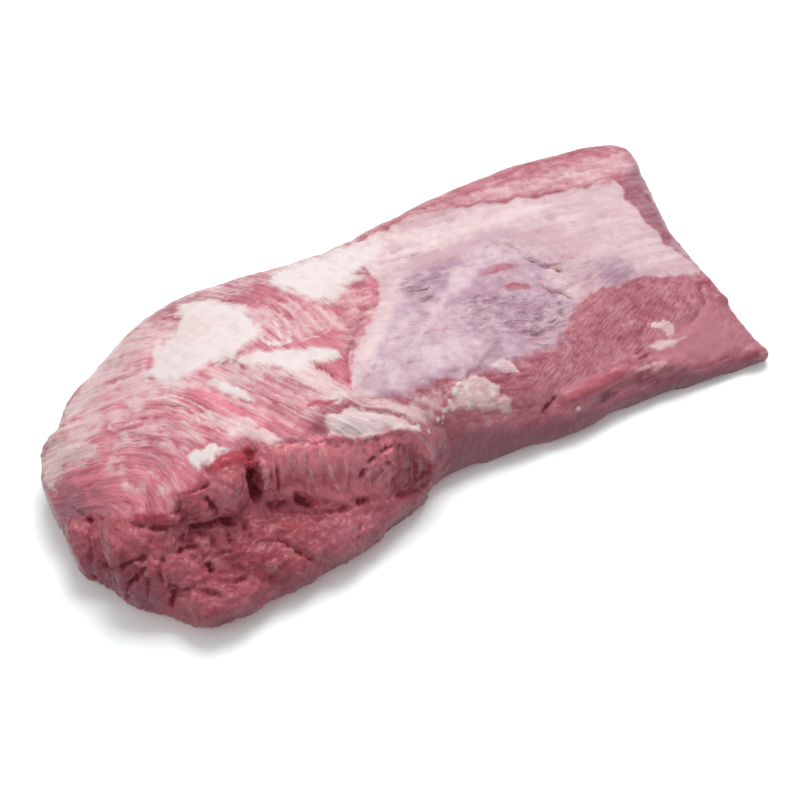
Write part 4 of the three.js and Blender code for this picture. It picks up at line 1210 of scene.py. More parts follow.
class MeatSkin:
    """The meat's material, mixed from noises and from the tissues painted on its mesh."""

    def __init__(self, finish: MeatFinish) -> None:
        """Starts the material with its noises and the painted tissues.

        Args:
            finish: The colours and sizes.
        """
        self.finish = finish
        self.material = bpy.data.materials.new("meat")
        self.kit = NodeKit(self.material)
        self.lay_noises()
        self.read_tissues()

    def lay_noises(self) -> None:
        """Makes the noises, each about -0.5 to 0.5: along the grain, up the torn wall and even."""
        kit, finish = self.kit, self.finish
        place = kit.scaled(kit.add("ShaderNodeTexCoord", output="Object"), 1 / MM)
        wave = kit.noise(kit.scaled(place, 1 / finish.wave_size), 2)
        ripple = kit.noise(kit.scaled(place, 1 / finish.ripple_size), 2)
        along = kit.attribute("along") - wave * finish.sway * 2
        across = kit.attribute("across") + wave * finish.sway + ripple * finish.sway * 1.5
        woven = [self.weave(weave, along, across) for weave in (
            finish.fibres, finish.bundles, finish.streaks, finish.bands, finish.hairs, finish.wrinkles)]
        self.fibres, self.bundles, self.streaks, self.bands, self.hairs, self.wrinkles = woven
        right, far, up = (kit.part(place, axis) for axis in "XYZ")
        ahead, aside = finish.stroke_heading
        drawn = right * ahead + far * aside - wave * finish.sway
        beside = far * ahead - right * aside + wave * finish.sway
        self.strokes = self.weave(finish.strokes, drawn, beside)
        level, inward = finish.wall_heading
        width, length = finish.strand_size
        past = right * level + far * inward + ripple * finish.sway
        behind = far * level - right * inward
        self.strands = kit.noise(kit.vector(past / width, up / length, behind / length))
        self.mottle = kit.noise(kit.scaled(place, 1 / finish.mottle_size), 4)
        self.cloud = kit.noise(kit.scaled(place, 1 / finish.cloud_size))
        self.grains = kit.noise(kit.scaled(place, 1 / finish.grain_size), 5, 0.65)
        self.specks = kit.noise(kit.scaled(place, 1 / finish.speck_size), 2)

    def weave(self, weave: Weave, along: Value, across: Value) -> Value:
        """A noise drawn out along one of two coordinates in millimetres."""
        spot = self.kit.vector(along / weave.along, across / weave.across, weave.layer)
        return self.kit.noise(spot, weave.detail, weave.roughness)

    def read_tissues(self) -> None:
        """Reads how much of each tissue shows, with borders frayed by the noises."""
        painted = self.kit.attribute
        inside = painted("fat") + self.bundles * 1.4 + self.mottle * 1.4
        self.fat = (inside + self.fibres * 0.8).ramp(-1.0, 0.9)
        self.pale = painted("film")
        self.sheet = (painted("sheet") + self.streaks * 0.6 + self.mottle * 0.4).ramp(0.15, 0.8)
        self.silver = (painted("silver") + self.streaks * 0.6 + self.mottle * 0.4).ramp(0.15, 0.9)
        self.dusk = (painted("dusk") + self.mottle * 1.2 + self.streaks * 0.6).ramp(0.2, 1.1)
        self.torn = painted("torn").ramp(-0.8, 0.8)
        self.blood = (painted("blood") * 1.1 + self.fibres * 1.1 + self.mottle * 1.1).ramp(0.2, 1.2)
        self.strand = self.torn * painted("lined")
        self.lined = painted("lined") * (1 - self.fat) * (1 - self.torn)
        self.wrinkled = painted("wrinkled") * (1 - self.fat)
        self.stroked = painted("stroked")
        self.smooth = painted("smooth")
        self.calm = (1 - self.stroked * 0.7) * (1 - self.smooth * 0.7)
        # Where the painted shade of the creases and the hollows of the relief lies.
        self.hollow = painted("hollow")
        self.hairlines = 1 - self.hairs.math("ABSOLUTE").ramp(0.0, 0.06)

    def lean_colour(self) -> Socket:
        """Colours the lean, the torn face and the reddish and smooth stretches of both.

        Returns:
            The colour.
        """
        kit, finish = self.kit, self.finish
        tone = (self.fibres * 1.2 * self.calm + self.bundles * self.calm
                + self.mottle * (self.stroked * 0.6 + 0.9) + self.cloud * 0.6 + 0.5).ramp(0.0, 1.0)
        lean = kit.mix(tone, finish.lean_deep, finish.lean_pale)
        tone = self.grains * 0.3 + self.mottle + self.bundles * 0.6 + self.fibres * 0.3 + self.cloud * 1.2
        torn = kit.mix((tone + 0.5).ramp(0.0, 1.0), finish.torn_deep, finish.torn_pale)
        surface = kit.mix(self.torn, lean, torn)
        ruddy = (self.bundles + self.fibres * 0.6 + 0.5).ramp(0.0, 0.8)
        surface = kit.mix(kit.attribute("bloom") * ruddy * 0.9, surface, finish.bloom)
        return kit.mix(self.smooth * (self.mottle * 0.8 + 0.75), surface, finish.blush)

    def skin_colour(self, surface: Socket) -> Socket:
        """Lays the thin skins on, from the film to the silver skin and its dusk.

        Args:
            surface: The colour below.

        Returns:
            The colour with the skins.
        """
        kit, finish = self.kit, self.finish
        patchy = self.bundles * 1.4 + self.streaks * 0.8 + self.fibres * 0.25 + self.mottle * 1.1
        film = (self.pale + patchy * (1 - self.smooth * 0.6)).ramp(0.12, 0.95)
        tone = (self.streaks + self.mottle * 0.6 + self.fibres * 0.2 + 0.55).ramp(0.2, 0.75)
        veil = kit.mix(tone, finish.film_shade, finish.film)
        surface = kit.mix(film * (self.pale * 0.25 + 0.6), surface, veil)
        # The flap's strands: pale filaments, partly painted light, on their crests, and dark, partly painted
        # shade, in the grooves between them.
        surface = kit.mix(self.strands.ramp(0.02, 0.2) * self.strand * 0.7, surface, finish.strand)
        surface = kit.mix((0 - self.strands).ramp(0.06, 0.2) * self.strand * 0.3, surface, finish.torn_deep)
        tone = self.bands * 1.3 + self.streaks * 0.5 + self.mottle * 0.7 + self.pale * 0.45 + 0.25
        sheet = kit.mix(tone.ramp(0.0, 1.0), finish.sheet_shade, finish.sheet)
        surface = kit.mix(self.sheet * 0.96, surface, sheet)
        # The silver skin, paler on the crests of its wrinkles and purple in their grooves: its own tint,
        # partly painted light and shade.
        tone = self.wrinkles * self.wrinkled * 1.7 + self.cloud * 0.9 + self.mottle * 0.8
        tone = tone + self.pale * 0.45 + 0.36
        silver = kit.mix(tone.ramp(0.0, 1.0), finish.silver_deep_and_shade, finish.silver)
        surface = kit.mix(self.silver * 0.9, surface, silver)
        # The dusk: a mauve tint, and on the flat's near wall painted shade.
        return kit.mix(self.dusk * 0.6, surface, finish.dusk)

    def top_colour(self, surface: Socket) -> Socket:
        """Lays on the hairs and the strokes with painted shade and highlight, the fat, the blood and the
        painted shade of the hollows, in that order.

        Args:
            surface: The colour below.

        Returns:
            The colour with all of them.
        """
        kit, finish = self.kit, self.finish
        cream = kit.mix((self.mottle + self.cloud + 0.5).ramp(0.2, 0.7), finish.fat_shade, finish.fat)
        # The strokes' dark grain in their grooves is partly painted shade, and their pale grain on the
        # crests partly painted highlight.
        stroke_grain_and_groove_shade = (self.mottle * 0.5 - self.strokes).ramp(0.08, 0.2) * self.stroked
        stroke_grain_and_crest_highlight = (self.strokes + self.mottle * 0.4).ramp(0.08, 0.24) * self.stroked
        for amount, tint in (
                # Dark hairlines of the grain, partly painted shade in their fine grooves.
                (self.hairlines * self.lined * 0.32, finish.hairline_grain_and_shade),
                # Painted highlight, in the film's colour, on the crests of the hairs.
                (self.hairs.ramp(0.05, 0.2) * self.lined * 0.18, finish.film),
                (stroke_grain_and_groove_shade * 0.36, finish.stroke),
                (stroke_grain_and_crest_highlight * 0.26, finish.film_shade),
                (self.fat, cream),
                (self.blood * 0.85, finish.blood),
                # Painted shade in the creases and the hollows of the relief.
                (self.hollow.ramp(0.05, 1.1) * 0.82, finish.hollow)):
            surface = kit.mix(amount, surface, tint)
        return surface

    def height(self) -> Value:
        """Adds up the fine relief: the grain of the skins, the torn face's crumbs, and the lines.

        Returns:
            Its height.
        """
        grain = (self.fibres * 0.25 + self.streaks * 0.4) * (1 - self.fat * 0.75) * (1 - self.torn * 0.5)
        height = grain * (1 - self.sheet * 0.4) * self.calm
        crumbly = self.torn * (1 - self.strand * 0.6) * (1 - self.smooth * 0.8)
        height = height + crumbly * (self.grains * 0.6 + self.specks * 0.2)
        height = height + self.wrinkles * self.wrinkled * 3.3
        height = height + self.hairs * self.lined * 0.6 - self.hairlines * self.lined * 0.15
        return height + self.strokes * self.stroked * 1.4 + self.strands * self.strand * 1.2

    def build(self) -> bpy.types.Material:
        """Puts the material together.

        Returns:
            The material.
        """
        kit, finish = self.kit, self.finish
        roughness = self.fat * 0.14 - self.torn * 0.06 + self.mottle * 0.3 + self.specks * 0.4
        normal = kit.add("ShaderNodeBump", None, {
            "Height": self.height(), "Strength": finish.bump_strength, "Distance": finish.bump_height})
        shader = kit.add("ShaderNodeBsdfPrincipled", None, {
            "Base Color": self.top_colour(self.skin_colour(self.lean_colour())), "Normal": normal,
            "Roughness": roughness + self.hollow * 0.3 + 0.36, "Specular IOR Level": finish.specular,
            "Subsurface Weight": finish.scatter_weight, "Subsurface Radius": finish.scatter_radius,
            "Subsurface Scale": 1.0, "Coat Weight": (1 - self.hollow) * (self.torn * 0.15 + 0.08),
            "Coat Roughness": finish.gloss_roughness})
        kit.add("ShaderNodeOutputMaterial", None, {"Surface": shader})
        return self.material


@dataclass(frozen=True)
class Texture:
    """A noise that shapes the mesh.

    Widths are those of its features, one for each way or one for all, in millimetres, or in pixels
    where it is laid over the photograph. Height is what it is multiplied by and the seed picks the
    pattern.
    """

    seed: int
    widths: float | tuple[float, float, float]
    layers: int = 1
    height: float = 1.0

    def at(self, places: Array) -> Array:
        """Its value at each of the places, given one to a row."""
        return layered_noise(places / self.widths, self.seed, self.layers) * self.height


@dataclass(frozen=True)
class Relief:
    """The noises worked into the mesh, and the heights in millimetres of those that are mixed."""

    bundles: Texture = Texture(3, (22, 5.5, 1), 2, 0.8)
    strands: Texture = Texture(5, (12, 2.6, 1), 1, 0.36)
    lumps: Texture = Texture(7, 15, 2)
    small_lumps: Texture = Texture(9, 4.2, 2)
    billows: Texture = Texture(13, 10, 2)
    small_billows: Texture = Texture(17, 4, 1, 0.8)
    wrinkles: Texture = Texture(23, (9, 3, 1), 1, 2.8)
    wall_strands: Texture = Texture(29, (2.3, 13, 13), 1, 1.5)
    warp_across: Texture = Texture(31, 17, 3, 6.8)
    warp_down: Texture = Texture(47, 17, 3, 6.8)
    ragged: Texture = Texture(61, 3.2, 2, 1.1)
    nicks: Texture = Texture(67, 2.8)
    lump_height: float = 0.9
    torn_lump_height: float = 0.6
    small_lump_height: float = 0.25
    torn_small_lump_height: float = 0.5
    billow_height: float = 2.2
    billow_level: float = 0.35
    nick_depth: float = 0.5
    nick_level: float = 0.3


@dataclass
class Brisket:
    """The meat: the part's own form with its folds, creases, fat and fibres worked into the skin.

    Names that end in mm are in millimetres, and those that end in px in pixels of the photograph.
    """

    view: PhotoView
    relief: Relief = Relief()
    name: str = "meat"
    coarse_mm: float = 4.1
    weld_mm: float = 0.01
    smoothing_rounds: int = 22
    last_smoothing_rounds: int = 3
    underside_mm: float = 1.2
    underside_facing: float = -0.9
    least_facing: float = -0.45
    least_fine_facing: float = -0.1
    drawing_px: float = 1.5
    widest_crease_mm: float = 6.5
    taper: float = 0.3
    crease_core: float = 0.55
    deepest_inset_mm: float = 9.0
    patch_flank_mm: tuple[float, float] = (-1.0, 2.2)
    blood_edge_mm: tuple[float, float] = (-1.2, 1.4)
    film_edge_mm: tuple[float, float] = (-0.8, 0.6)
    fat_edge_mm: tuple[float, float] = (-1.0, 1.0)
    vein_tip: float = 0.12
    vein_margin_mm: float = 5.0
    film_rise_mm: float = 0.4
    fat_rise_mm: float = 0.5
    crumb_margin_mm: float = 4.0
    crumb_rise: float = 0.6
    crumb_sizes: tuple[float, float] = (0.5, 1.3)
    crumb_tries: int = 6
    crest_span_mm: float = 8.0
    foot_mm: tuple[float, float] = (0.0, 6.0)
    hollow_foot_mm: tuple[float, float] = (1.0, 5.0)
    box_margin_mm: float = 3.0
    hollow_scales: tuple[tuple[int, float], ...] = ((6, 0.5), (40, 0.35))
    piece: bpy.types.Object = field(init=False)
    place: Array = field(init=False)
    normal: Array = field(init=False)
    rise: Array = field(init=False)

    def build(self) -> bpy.types.Object:
        """Makes the piece in its own order, from the form to the painted skin.

        Returns:
            The piece.
        """
        self.copy_form()
        self.remesh()
        self.refine(self.is_worth_detail())
        self.relax(self.smoothing_rounds)
        self.refine(self.is_in_fine_zone())
        self.relax(self.last_smoothing_rounds)
        log.info("form: %d triangles", self.triangles())
        self.read_skin()
        paint = self.lay_folds()
        self.read_skin()
        paint.update(self.lay_tissues())
        self.carve_grain(paint)
        self.fit_in_box()
        self.find_hollows(paint)
        self.store(paint)
        log.info("skin: %d triangles", self.triangles())
        return self.piece

    def triangles(self) -> int:
        """How many triangles the piece has."""
        return sum(len(face.vertices) - 2 for face in self.piece.data.polygons)

    def select_only(self) -> None:
        """Makes the piece the one selected object."""
        bpy.ops.object.select_all(action="DESELECT")
        self.piece.select_set(True)
        bpy.context.view_layer.objects.active = self.piece

    def copy_form(self) -> None:
        """Copies the part's solid and welds its loose triangles."""
        self.piece = bpy.data.objects.new(self.name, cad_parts["brisket"].data.copy())
        bpy.context.scene.collection.objects.link(self.piece)
        self.piece.data.materials.clear()
        self.select_only()
        bpy.ops.object.mode_set(mode="EDIT")
        bpy.ops.mesh.select_all(action="SELECT")
        bpy.ops.mesh.remove_doubles(threshold=self.weld_mm * MM)
        bpy.ops.object.mode_set(mode="OBJECT")

    def remesh(self) -> None:
        """Gives the form an even mesh of small faces."""
        modifier = self.piece.modifiers.new("remesh", "REMESH")
        modifier.mode = "VOXEL"
        modifier.voxel_size = self.coarse_mm * MM
        self.select_only()
        bpy.ops.object.modifier_apply(modifier=modifier.name)

    @staticmethod
    def read_rows(items: bpy.types.bpy_prop_collection, name: str) -> Array:
        """Reads a vector of each vertex or face.

        Args:
            items: The mesh's vertices or faces.
            name: The name of the vector.

        Returns:
            The vectors, one to a row.
        """
        numbers = np.empty(len(items) * 3)
        items.foreach_get(name, numbers)
        return numbers.reshape(-1, 3)

    def face_middles(self) -> Array:
        """The middle of each face, in metres."""
        return self.read_rows(self.piece.data.polygons, "center")

    def face_normals(self) -> Array:
        """The outward direction of each face."""
        return self.read_rows(self.piece.data.polygons, "normal")

    def is_above_the_foot(self) -> Array:
        """Which faces aren't part of the flat underside."""
        low = self.face_middles()[:, 2] < self.underside_mm * MM
        return ~((self.face_normals()[:, 2] < self.underside_facing) & low)

    def is_worth_detail(self) -> Array:
        """Which faces are neither underneath nor on the far wall, which is plain."""
        return (self.face_normals() @ self.view.axes()[2] > self.least_facing) & self.is_above_the_foot()

    def is_in_fine_zone(self) -> Array:
        """Which faces lie in a fine zone and are turned to the camera.

        Returns:
            True or False for each face.
        """
        facing = self.face_normals() @ self.view.axes()[2] > self.least_fine_facing
        seen = self.view.project(self.face_middles())
        inset = np.max([inset_from(zone, seen) for zone in FINE_ZONES.values()], axis=0)
        return facing & (inset > 0) & self.is_above_the_foot()

    def refine(self, chosen: Array) -> None:
        """Cuts each chosen face in four.

        Args:
            chosen: True or False for each face.
        """
        mesh = self.piece.data
        self.select_only()
        bpy.ops.object.mode_set(mode="EDIT")
        bpy.ops.mesh.select_mode(type="FACE")
        bpy.ops.mesh.select_all(action="DESELECT")
        bpy.ops.object.mode_set(mode="OBJECT")
        mesh.polygons.foreach_set("select", chosen)
        bpy.ops.object.mode_set(mode="EDIT")
        bpy.ops.mesh.subdivide(number_cuts=1, ngon=False)
        bpy.ops.object.mode_set(mode="OBJECT")

    def read_places(self) -> Array:
        """The vertices' places, in millimetres."""
        return self.read_rows(self.piece.data.vertices, "co") / MM

    def write_places(self, places: Array) -> None:
        """Moves the vertices, none of them below the floor.

        Args:
            places: Their new places, in millimetres.
        """
        places[:, 2] = np.maximum(places[:, 2], 0)
        self.piece.data.vertices.foreach_set("co", (places * MM).ravel())
        self.piece.data.update()

    def read_skin(self) -> None:
        """Reads the vertices' places, in millimetres, and their outward directions."""
        self.place = self.read_places()
        self.normal = self.read_rows(self.piece.data.vertices, "normal")

    def spread(self, values: Array, rounds: int) -> Array:
        """Evens out values over the mesh.

        Args:
            values: A number or a row for each vertex.
            rounds: How often each vertex moves halfway to the mean of its neighbours.

        Returns:
            The evened values.
        """
        mesh = self.piece.data
        edges = np.empty(len(mesh.edges) * 2, np.int32)
        mesh.edges.foreach_get("vertices", edges)
        a, b = edges.reshape(-1, 2).T
        count = len(mesh.vertices)
        neighbours = np.bincount(a, minlength=count) + np.bincount(b, minlength=count)
        table = values.reshape(count, -1)
        for _ in range(rounds):
            sums = [np.bincount(a, column[b], count) + np.bincount(b, column[a], count)
                    for column in table.T]
            table = (table + np.stack(sums, axis=1) / neighbours[:, None]) / 2
        return table.reshape(values.shape)

    def relax(self, rounds: int) -> None:
        """Smooths the facets of the form, with the underside held flat on the floor.

        Args:
            rounds: How often it is evened out.
        """
        places = self.read_places()
        resting = places[:, 2] < self.underside_mm
        relaxed = self.spread(places, rounds)
        relaxed[resting, 2] = 0
        self.write_places(relaxed)

    def cast(self, line: Line, tree: BVHTree) -> Array:
        """Lays a drawn line on the skin, as the camera sees it.

        Args:
            line: Pixels of the photograph.
            tree: The skin that the rays meet.

        Returns:
            The points of the skin under the line, in millimetres.
        """
        eye = Vector(self.view.place())
        pixels = curve_through(line, self.drawing_px)
        hits = [tree.ray_cast(eye, self.view.ray(pixel))[0] for pixel in pixels]
        return np.array([hit for hit in hits if hit is not None]).reshape(-1, 3) / MM

    def near(self, line: Array, reach: float) -> tuple[Array, Array, Array]:
        """Finds the vertices near a line in space.

        Args:
            line: The line's points, in millimetres.
            reach: How near, in millimetres.

        Returns:
            The vertices, how far each lies from the line, and where along it, from 0 to 1.
        """
        low, high = line.min(axis=0) - reach, line.max(axis=0) + reach
        found = np.flatnonzero(np.all((self.place > low) & (self.place < high), axis=1))
        apart, where = distance_to(line, self.place[found])
        return found[apart < reach], apart[apart < reach], where[apart < reach]

    def inside_vein(self, line: Array, half_width: float) -> tuple[Array, Array]:
        """How far inside a tapering vein the vertices round it lie.

        Args:
            line: The vein's middle line, in millimetres.
            half_width: The half width at its middle, in millimetres.

        Returns:
            The vertices within a few millimetres of the vein, and how far inside it each lies.
        """
        found, _, _ = self.near(line, half_width + self.vein_margin_mm)
        along = np.linspace(self.vein_tip, 1 - self.vein_tip, len(line))
        radii = half_width * np.sqrt(np.sin(np.pi * along))
        depth = np.full(len(found), -self.deepest_inset_mm)
        for point, radius in zip(line, radii):
            depth = np.maximum(depth, radius - np.linalg.norm(self.place[found] - point, axis=1))
        return found, depth

    def skin_tree(self) -> BVHTree:
        """The piece's faces, for rays."""
        return BVHTree.FromObject(self.piece, bpy.context.evaluated_depsgraph_get())

    def laid(self, marks: list[Fold | Vein], tree: BVHTree) -> Iterator[tuple[Fold | Vein, Array]]:
        """Lays folds or veins on the skin one by one, and logs those that miss it.

        Args:
            marks: The folds or the veins.
            tree: The skin.

        Returns:
            Each mark with the points of the skin under its line, in millimetres.
        """
        for mark in marks:
            line = self.cast(mark.line, tree)
            if len(line):
                yield mark, line
            else:
                log.warning("%s misses the meat", mark.name)

    def lay_folds(self) -> Paint:
        """Presses the creases in, raises the ridges and notes the painted shade of their bottoms and the
        white of their crests.

        Returns:
            How much painted shade each vertex has in a crease, and how white it is on a ridge's crest,
            partly painted highlight, by name.
        """
        pressed, raised, blood, white = np.zeros((4, len(self.place)))
        ragged = self.relief.ragged.at(self.place)
        for fold, line in self.laid(FOLDS, self.skin_tree()):
            found, apart, where = self.near(line, fold.reach)
            ends = np.ones(len(found))
            if fold.depth > 0 and fold.reach < self.widest_crease_mm:
                apart = np.clip(apart + ragged[found], 0, fold.reach)
                ends = np.minimum(where, 1 - where) / self.taper
            share = (1 - (apart / fold.reach) ** 2) ** 2 * smoothstep(0, 1, ends)
            if fold.depth > 0:
                raise_to(pressed, found, fold.depth * share)
            else:
                raise_to(raised, found, -fold.depth * share)
            core = np.clip(1 - apart / (fold.reach * self.crease_core), 0, 1)
            # Blood here is painted shade, dark red, in the crease's bottom, and white the crest's painted
            # highlight, partly fat.
            raise_to(blood, found, fold.blood * core * smoothstep(0, 0.7, ends))
            raise_to(white, found, fold.fat * core)
        self.write_places(self.place + self.normal * (raised - pressed)[:, None])
        return {"crease": blood, "crest": white}

    def lay_tissues(self) -> Paint:
        """Works out which tissue shows where, and raises the fat and the skins.

        Returns:
            The values to paint, by name: how far inside the fat and the torn face each vertex lies,
            how much of the other tissues shows, and the places along and across the grain.
        """
        pixels = self.view.project(self.place * MM)
        self.rise = np.zeros(len(pixels))
        values = self.lay_patches(pixels)
        tree = self.skin_tree()
        self.lay_veins(values, tree)
        self.lay_crumbs(values, tree)
        self.write_places(self.place + self.normal * self.rise[:, None])
        grain = Grain(self.view)
        values["along"] = grain.at(grain.along, pixels) * self.view.pixel_mm
        values["across"] = grain.at(grain.across, pixels) * self.view.pixel_mm
        return values

    def lay_patches(self, pixels: Array) -> Paint:
        """Lays the outlined stretches of tissue, with wavering borders.

        Args:
            pixels: Where each vertex shows on the photograph.

        Returns:
            The tissues' values, by name.
        """
        seen = np.column_stack([pixels, np.zeros(len(pixels))])
        warp = np.stack([self.relief.warp_across.at(seen), self.relief.warp_down.at(seen)], axis=1)
        values = {}
        for tissue, patches in PATCHES.items():
            by_inset = tissue in (Tissue.FAT, Tissue.TORN)
            painted = np.full(len(pixels), -self.deepest_inset_mm if by_inset else 0.0)
            for patch in patches:
                inset = inset_from(patch.outline, pixels + warp) * self.view.pixel_mm
                inset = np.clip(inset, -self.deepest_inset_mm, self.deepest_inset_mm)
                if inset.max() < 0:
                    log.warning("%s patch %s misses the meat", tissue.value, patch.name)
                shown = patch.share * smoothstep(-patch.edge, patch.edge, inset)
                amount = inset / patch.edge if by_inset else shown
                painted = painted + amount if patch.share < 0 else np.maximum(painted, amount)
                self.rise = np.maximum(self.rise, patch.rise * smoothstep(*self.patch_flank_mm, inset))
            values[tissue.value] = painted
        return values

    def lay_veins(self, values: Paint, tree: BVHTree) -> None:
        """Lays the thin lines and spots of fat, film and blood.

        Args:
            values: The tissues' values, by name, which it adds to.
            tree: The skin.
        """
        values["blood"] = np.zeros(len(self.place))
        for vein, line in self.laid(VEINS, tree):
            found, depth = self.inside_vein(line, vein.half_width)
            if vein.blood:
                raise_to(values["blood"], found, vein.blood * smoothstep(*self.blood_edge_mm, depth))
            elif vein.film:
                shown = smoothstep(*self.film_edge_mm, depth)
                raise_to(values["film"], found, vein.film * shown)
                raise_to(self.rise, found, self.film_rise_mm * shown)
            else:
                raise_to(values["fat"], found, depth)
                raise_to(self.rise, found, self.fat_rise_mm * smoothstep(*self.fat_edge_mm, depth))

    def lay_crumbs(self, values: Paint, tree: BVHTree) -> None:
        """Lays the loose lumps of fat, each at a random place in its cluster.

        Args:
            values: The tissues' values, by name, which it adds to.
            tree: The skin.
        """
        draw = np.random.default_rng(SEED)
        for cluster in CRUMBS:
            for pixel, size in self.scatter(cluster, draw):
                line = self.cast(list(pixel), tree)
                if not len(line):
                    log.warning("one of the %s misses the meat", cluster.name)
                    continue
                found, apart, _ = self.near(line, size + self.crumb_margin_mm)
                flank = size * self.crumb_rise
                raise_to(values["fat"], found, size - apart)
                raise_to(self.rise, found, flank * smoothstep(-flank, flank, size - apart))

    def scatter(self, cluster: Crumbs, draw: np.random.Generator) -> list[tuple[Pixel, float]]:
        """Places a cluster's crumbs at random inside its outline.

        Args:
            cluster: The cluster.
            draw: Where the random numbers come from.

        Returns:
            Each crumb's pixel and its size in millimetres.
        """
        ring = pairs(cluster.outline)
        low, high = ring.min(axis=0), ring.max(axis=0)
        tries = draw.uniform(low, high, size=(cluster.count * self.crumb_tries, 2))
        kept = tries[inset_from(cluster.outline, tries) > 0][: cluster.count]
        sizes = cluster.size * draw.uniform(*self.crumb_sizes, len(kept))
        return [((float(x), float(y)), float(size)) for (x, y), size in zip(kept, sizes)]

    def carve_grain(self, paint: Paint) -> None:
        """Works the fibre bundles and the unevenness of the skin into the mesh.

        Args:
            paint: The values to paint, by name.
        """
        self.read_skin()
        relief = self.relief
        fibre = np.stack([paint["along"], paint["across"], np.zeros(len(self.place))], axis=1)
        fat = smoothstep(*self.fat_edge_mm, paint["fat"])
        torn = smoothstep(*self.fat_edge_mm, paint["torn"])
        free = smoothstep(*self.foot_mm, self.place[:, 2])
        fibrous = torn * np.clip(paint["lined"], 0, 1)
        crumbly = torn * (1 - 0.8 * fibrous) * (1 - 0.6 * np.clip(paint["smooth"], 0, 1))
        billows = np.abs(relief.billows.at(self.place)) + np.abs(relief.small_billows.at(self.place))
        nicks = relief.nick_level - np.abs(relief.nicks.at(self.place))
        lumpy = relief.lump_height + relief.torn_lump_height * crumbly
        finely_lumpy = (relief.small_lump_height + relief.torn_small_lump_height * crumbly) * (1 - 0.5 * fat)
        height = (relief.bundles.at(fibre) + relief.strands.at(fibre)) * (1 - 0.75 * fat) * (1 - fibrous)
        height += relief.lumps.at(self.place) * lumpy + relief.small_lumps.at(self.place) * finely_lumpy
        billows = (billows - relief.billow_level) * relief.billow_height
        height += (billows - nicks * relief.nick_depth) * crumbly
        height += relief.wall_strands.at(self.along_wall()) * fibrous
        height += relief.wrinkles.at(fibre) * paint["wrinkled"] * (1 - fat)
        self.write_places(self.place + self.normal * (height * free)[:, None])

    def along_wall(self) -> Array:
        """Works out where the vertices lie on the torn wall.

        Returns:
            Each vertex's place along the wall, up it and behind it, in millimetres.
        """
        right, _, _ = self.view.axes()
        behind = np.array([-right[1], right[0], 0.0])
        return np.stack([self.place @ right, self.place[:, 2], self.place @ behind], axis=1)

    def fit_in_box(self) -> None:
        """Draws the few vertices that stand out of the part's box back into it, but for its floor."""
        self.read_skin()
        places, margin = self.place, self.box_margin_mm
        low, high = (np.array(corner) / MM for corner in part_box("brisket"))
        walls = [(0, high[0], 1), (0, low[0], -1), (1, high[1], 1), (1, low[1], -1), (2, high[2], 1)]
        for axis, limit, sign in walls:
            room = (limit - places[:, axis]) * sign
            squeezed = margin * np.exp(np.minimum(room - margin, 0) / margin)
            places[:, axis] = limit - sign * np.where(room < margin, squeezed, room)
        self.write_places(places)

    def find_hollows(self, paint: Paint) -> None:
        """Notes painted shade where each vertex lies deep in the relief round it, and lays the white of the
        ridges' crests, partly painted highlight, as fat.

        Args:
            paint: The values to paint, by name, which it adds to.
        """
        self.read_skin()
        depth = np.zeros(len(self.place))
        for rounds, weight in self.hollow_scales:
            sunk = self.spread(self.place, rounds) - self.place
            depth += weight * np.einsum("ij,ij->i", sunk, self.normal)
        free = smoothstep(*self.hollow_foot_mm, self.place[:, 2])
        # Painted shade: the creases' painted shade and the depth of each vertex in the relief.
        paint["hollow"] = np.clip(np.maximum(paint["crease"], depth * free), 0, 1)
        # The crests' white, partly painted highlight, is laid as fat.
        paint["fat"] = np.maximum(paint["fat"], (paint["crest"] - 0.5) * self.crest_span_mm)

    def store(self, paint: Paint) -> None:
        """Stores the painted values as attributes of the mesh.

        Args:
            paint: The values to paint, by name.
        """
        mesh = self.piece.data
        for name in (*(tissue.value for tissue in Tissue), "blood", "hollow", "along", "across"):
            layer = mesh.attributes.new(name, "FLOAT", "POINT")
            layer.data.foreach_set("value", paint[name].astype(np.float32))
        self.select_only()
        bpy.ops.object.shade_smooth()


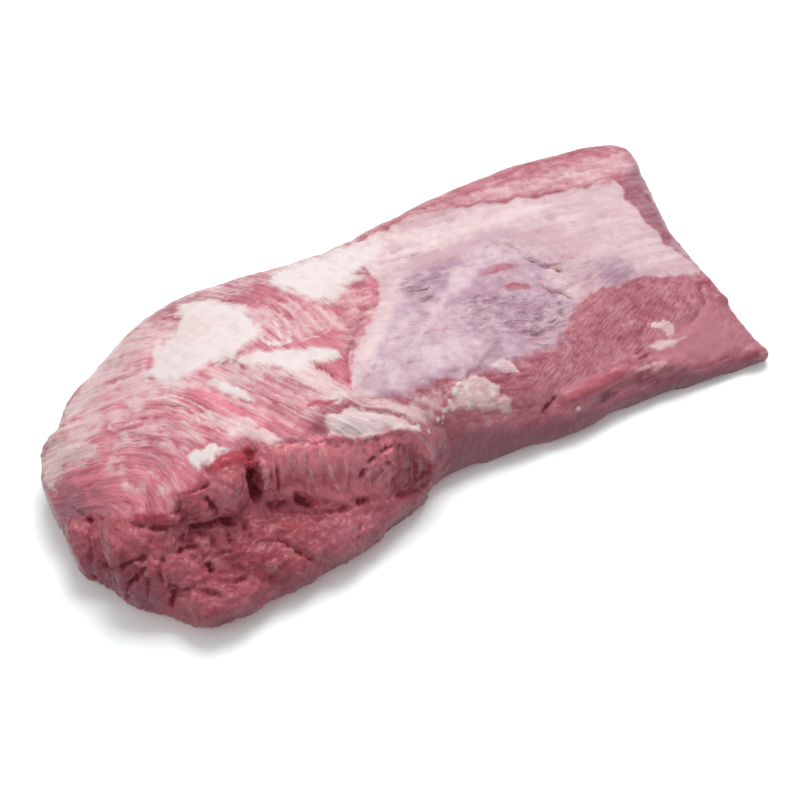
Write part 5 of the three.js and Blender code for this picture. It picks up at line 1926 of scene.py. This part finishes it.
@dataclass
class Studio:
    """A white floor with soft light from above and behind."""

    view: PhotoView
    floor_size: float = 12.0
    floor_drop: float = 0.0002
    floor_lift: float = 0.42
    sky_above: float = 0.46
    sky_below: float = 0.20
    horizon: float = 0.1
    key_place: tuple[float, float, float] = (0.34, 0.46, 1.36)
    key_size: float = 0.8
    key_power: float = 13.6
    fill_place: tuple[float, float, float] = (-1.25, -0.25, 0.95)
    fill_size: float = 1.0
    fill_power: float = 1.5

    def build(self) -> None:
        """Adds the floor, the lights, the sky and the camera."""
        self.add_floor()
        self.add_light("key", self.key_place, self.key_size, self.key_power)
        self.add_light("fill", self.fill_place, self.fill_size, self.fill_power)
        self.add_sky()
        self.view.add_camera()
        bpy.context.scene.view_settings.view_transform = "Standard"

    def add_floor(self) -> None:
        """Adds the pale floor, which isn't part of the object and throws no light back on the meat."""
        bpy.ops.object.select_all(action="DESELECT")
        bpy.ops.mesh.primitive_plane_add(size=self.floor_size, location=(0, 0, -self.floor_drop))
        floor = bpy.context.object
        floor.name = "floor"
        floor.visible_diffuse = False
        material = bpy.data.materials.new("floor")
        kit = NodeKit(material)
        shader = kit.add("ShaderNodeBsdfPrincipled", None, {
            "Base Color": colour(242, 250, 249), "Roughness": 0.9, "Specular IOR Level": 0.1})
        lift = kit.add("ShaderNodeBsdfDiffuse", None, {"Color": (self.floor_lift,) * 3 + (1.0,)})
        bright = kit.add("ShaderNodeAddShader", None, {0: shader, 1: lift})
        kit.add("ShaderNodeOutputMaterial", None, {"Surface": bright})
        floor.data.materials.append(material)

    def add_light(self, name: str, place: tuple[float, float, float], size: float, power: float) -> None:
        """Adds a square soft light that shines on the meat's middle.

        Args:
            name: The light's name.
            place: Where it hangs, in metres.
            size: The length of its side, in metres.
            power: Its power in watts.
        """
        data = bpy.data.lights.new(name, "AREA")
        data.size = size
        data.energy = power
        light = bpy.data.objects.new(name, data)
        light.location = place
        light.rotation_euler = (-Vector(place)).to_track_quat("-Z", "Y").to_euler()
        bpy.context.scene.collection.objects.link(light)

    def add_sky(self) -> None:
        """Adds an even white sky, with less light from below the horizon."""
        world = bpy.data.worlds.new("sky")
        kit = NodeKit(world)
        way = kit.add("ShaderNodeTexCoord", output="Generated")
        height = kit.add("ShaderNodeSeparateXYZ", None, {0: way}, output="Z")
        strength = kit.add("ShaderNodeMapRange", None, {
            "Value": height, "From Min": -self.horizon, "From Max": self.horizon,
            "To Min": self.sky_below, "To Max": self.sky_above})
        light = kit.add("ShaderNodeBackground", None, {"Color": WHITE, "Strength": strength})
        kit.add("ShaderNodeOutputWorld", None, {"Surface": light})
        bpy.context.scene.world = world


def main() -> None:
    """Builds the meat, dresses it and sets the studio round it."""
    logging.basicConfig(level=logging.INFO, format="%(name)s: %(message)s")
    view = PhotoView()
    meat = Brisket(view).build()
    meat.data.materials.append(MeatSkin(MeatFinish()).build())
    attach(meat, "root")
    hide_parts("brisket")
    log.info("piece %s is dressed", meat.name)
    Studio(view).build()
    log.info("the studio stands")


if __name__ == "__main__":
    main()
